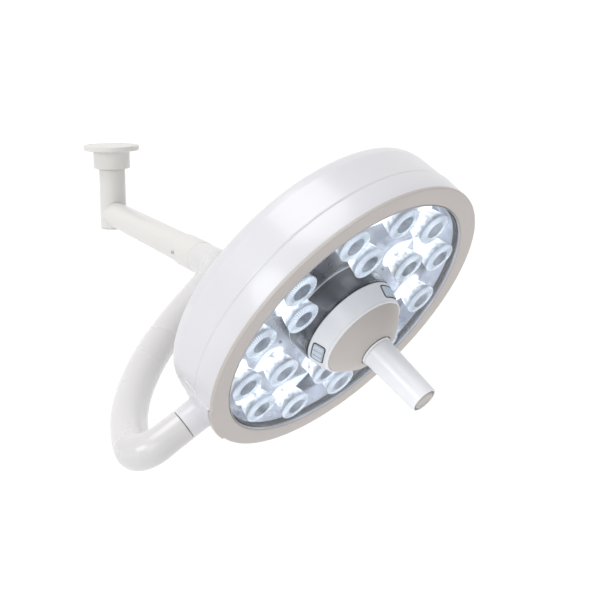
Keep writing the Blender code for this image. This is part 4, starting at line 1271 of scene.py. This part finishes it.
def build_mount():
    thick = 0.012
    housing = 0.046
    bore = DROP.outer + 0.0066
    flange = lathe(
        "ceiling_flange",
        [
            (0.0, 0.0, 0.0),
            (FLANGE.outer, 0.0, 0.0018),
            (FLANGE.outer, -thick, 0.0018),
            (housing, -thick, 0.0040),
            (housing, FLANGE.low, 0.0024),
            (bore, FLANGE.low, 0.0006),
            (bore, -thick - 0.0020, 0.0),
            (0.0, -thick - 0.0020, 0.0),
        ],
        FINE,
    )
    holes = []
    for i in range(4):
        angle = math.radians(48.75 + 90.0 * i)
        place = (0.059 * math.cos(angle), 0.059 * math.sin(angle), 0.0)
        holes.append(placed(plug(0.0045, 0.01, -0.03, 40), Matrix.Translation(place)))
    flange = boolean("DIFFERENCE", flange, holes)
    piece("ceiling_flange", flange, "mount", LOOKS["arm_paint"], "arm_paint", TOP, "mounting_flange")


# ---------------------------------------------------------------- studio
def sun_light(name, source, energy, spread, colour):
    """Soft light from far away in the direction of source."""
    light = bpy.data.lights.new(name, "SUN")
    light.energy = energy
    light.angle = math.radians(spread)
    light.color = colour
    obj = bpy.data.objects.new(name, light)
    bpy.context.scene.collection.objects.link(obj)
    obj.rotation_euler = (-Vector(source)).to_track_quat("-Z", "Y").to_euler()


def build_studio():
    floor_mesh = bpy.data.meshes.new("floor")
    shape = bmesh.new()
    bmesh.ops.create_circle(shape, cap_ends=True, segments=96, radius=40.0)
    shape.to_mesh(floor_mesh)
    shape.free()
    floor_paint = coated("floor_paint", (0.93, 0.93, 0.93), 0.7, 20.0, 0.0001, 0.0, 0.01)
    floor_mesh.materials.append(floor_paint)
    floor = bpy.data.objects.new("floor", floor_mesh)
    bpy.context.scene.collection.objects.link(floor)
    floor.location = (0.0, 0.0, -2.2)

    world = bpy.data.worlds.new("studio")
    world.use_nodes = True
    tree = world.node_tree
    place = tree.nodes.new("ShaderNodeTexCoord")
    side = tree.nodes.new("ShaderNodeVectorMath")
    side.operation = "DOT_PRODUCT"
    side.inputs[1].default_value = (-0.90, 0.42, 0.12)
    level = tree.nodes.new("ShaderNodeMapRange")
    level.inputs["From Min"].default_value = 0.3
    level.inputs["From Max"].default_value = 0.8
    level.inputs["To Min"].default_value = 0.50
    level.inputs["To Max"].default_value = 1.05
    sky = tree.nodes["Background"]
    tree.links.new(place.outputs["Generated"], side.inputs[0])
    tree.links.new(side.outputs["Value"], level.inputs["Value"])
    tree.links.new(level.outputs["Result"], sky.inputs["Strength"])
    sky.inputs["Color"].default_value = (1.0, 1.0, 1.0, 1.0)
    bpy.context.scene.world = world

    sun_light("key", (0.30, -0.93, 0.35), 0.70, 26.0, (0.97, 0.98, 1.0))
    sun_light("front", (0.78, -0.58, 0.28), 0.40, 30.0, (0.98, 0.985, 1.0))
    sun_light("top", (0.10, -0.30, 1.0), 1.40, 40.0, (1.0, 0.99, 0.98))
    bpy.context.scene.view_settings.view_transform = "Standard"


def build_camera():
    """The camera stands beyond the head and above the arm, and looks back along it."""
    camera = bpy.data.cameras.new("camera")
    camera.sensor_width = 36.0
    camera.lens = 18.0 / math.tan(math.radians(14.0))
    obj = bpy.data.objects.new("camera", camera)
    bpy.context.scene.collection.objects.link(obj)
    obj.location = (3.027, -0.788, 0.270)
    forward = Vector((-0.896, 0.389, -0.2134)).normalized()
    obj.rotation_euler = forward.to_track_quat("-Z", "Y").to_euler()
    bpy.context.scene.camera = obj


# ---------------------------------------------------------------- build
build_camera()
dress_cad_nodes()
build_drum()
build_bezel()
build_saddle()
build_chamber()
build_modules()
build_hub()
build_handle()
build_yoke()
build_arm()
build_mount()
build_studio()
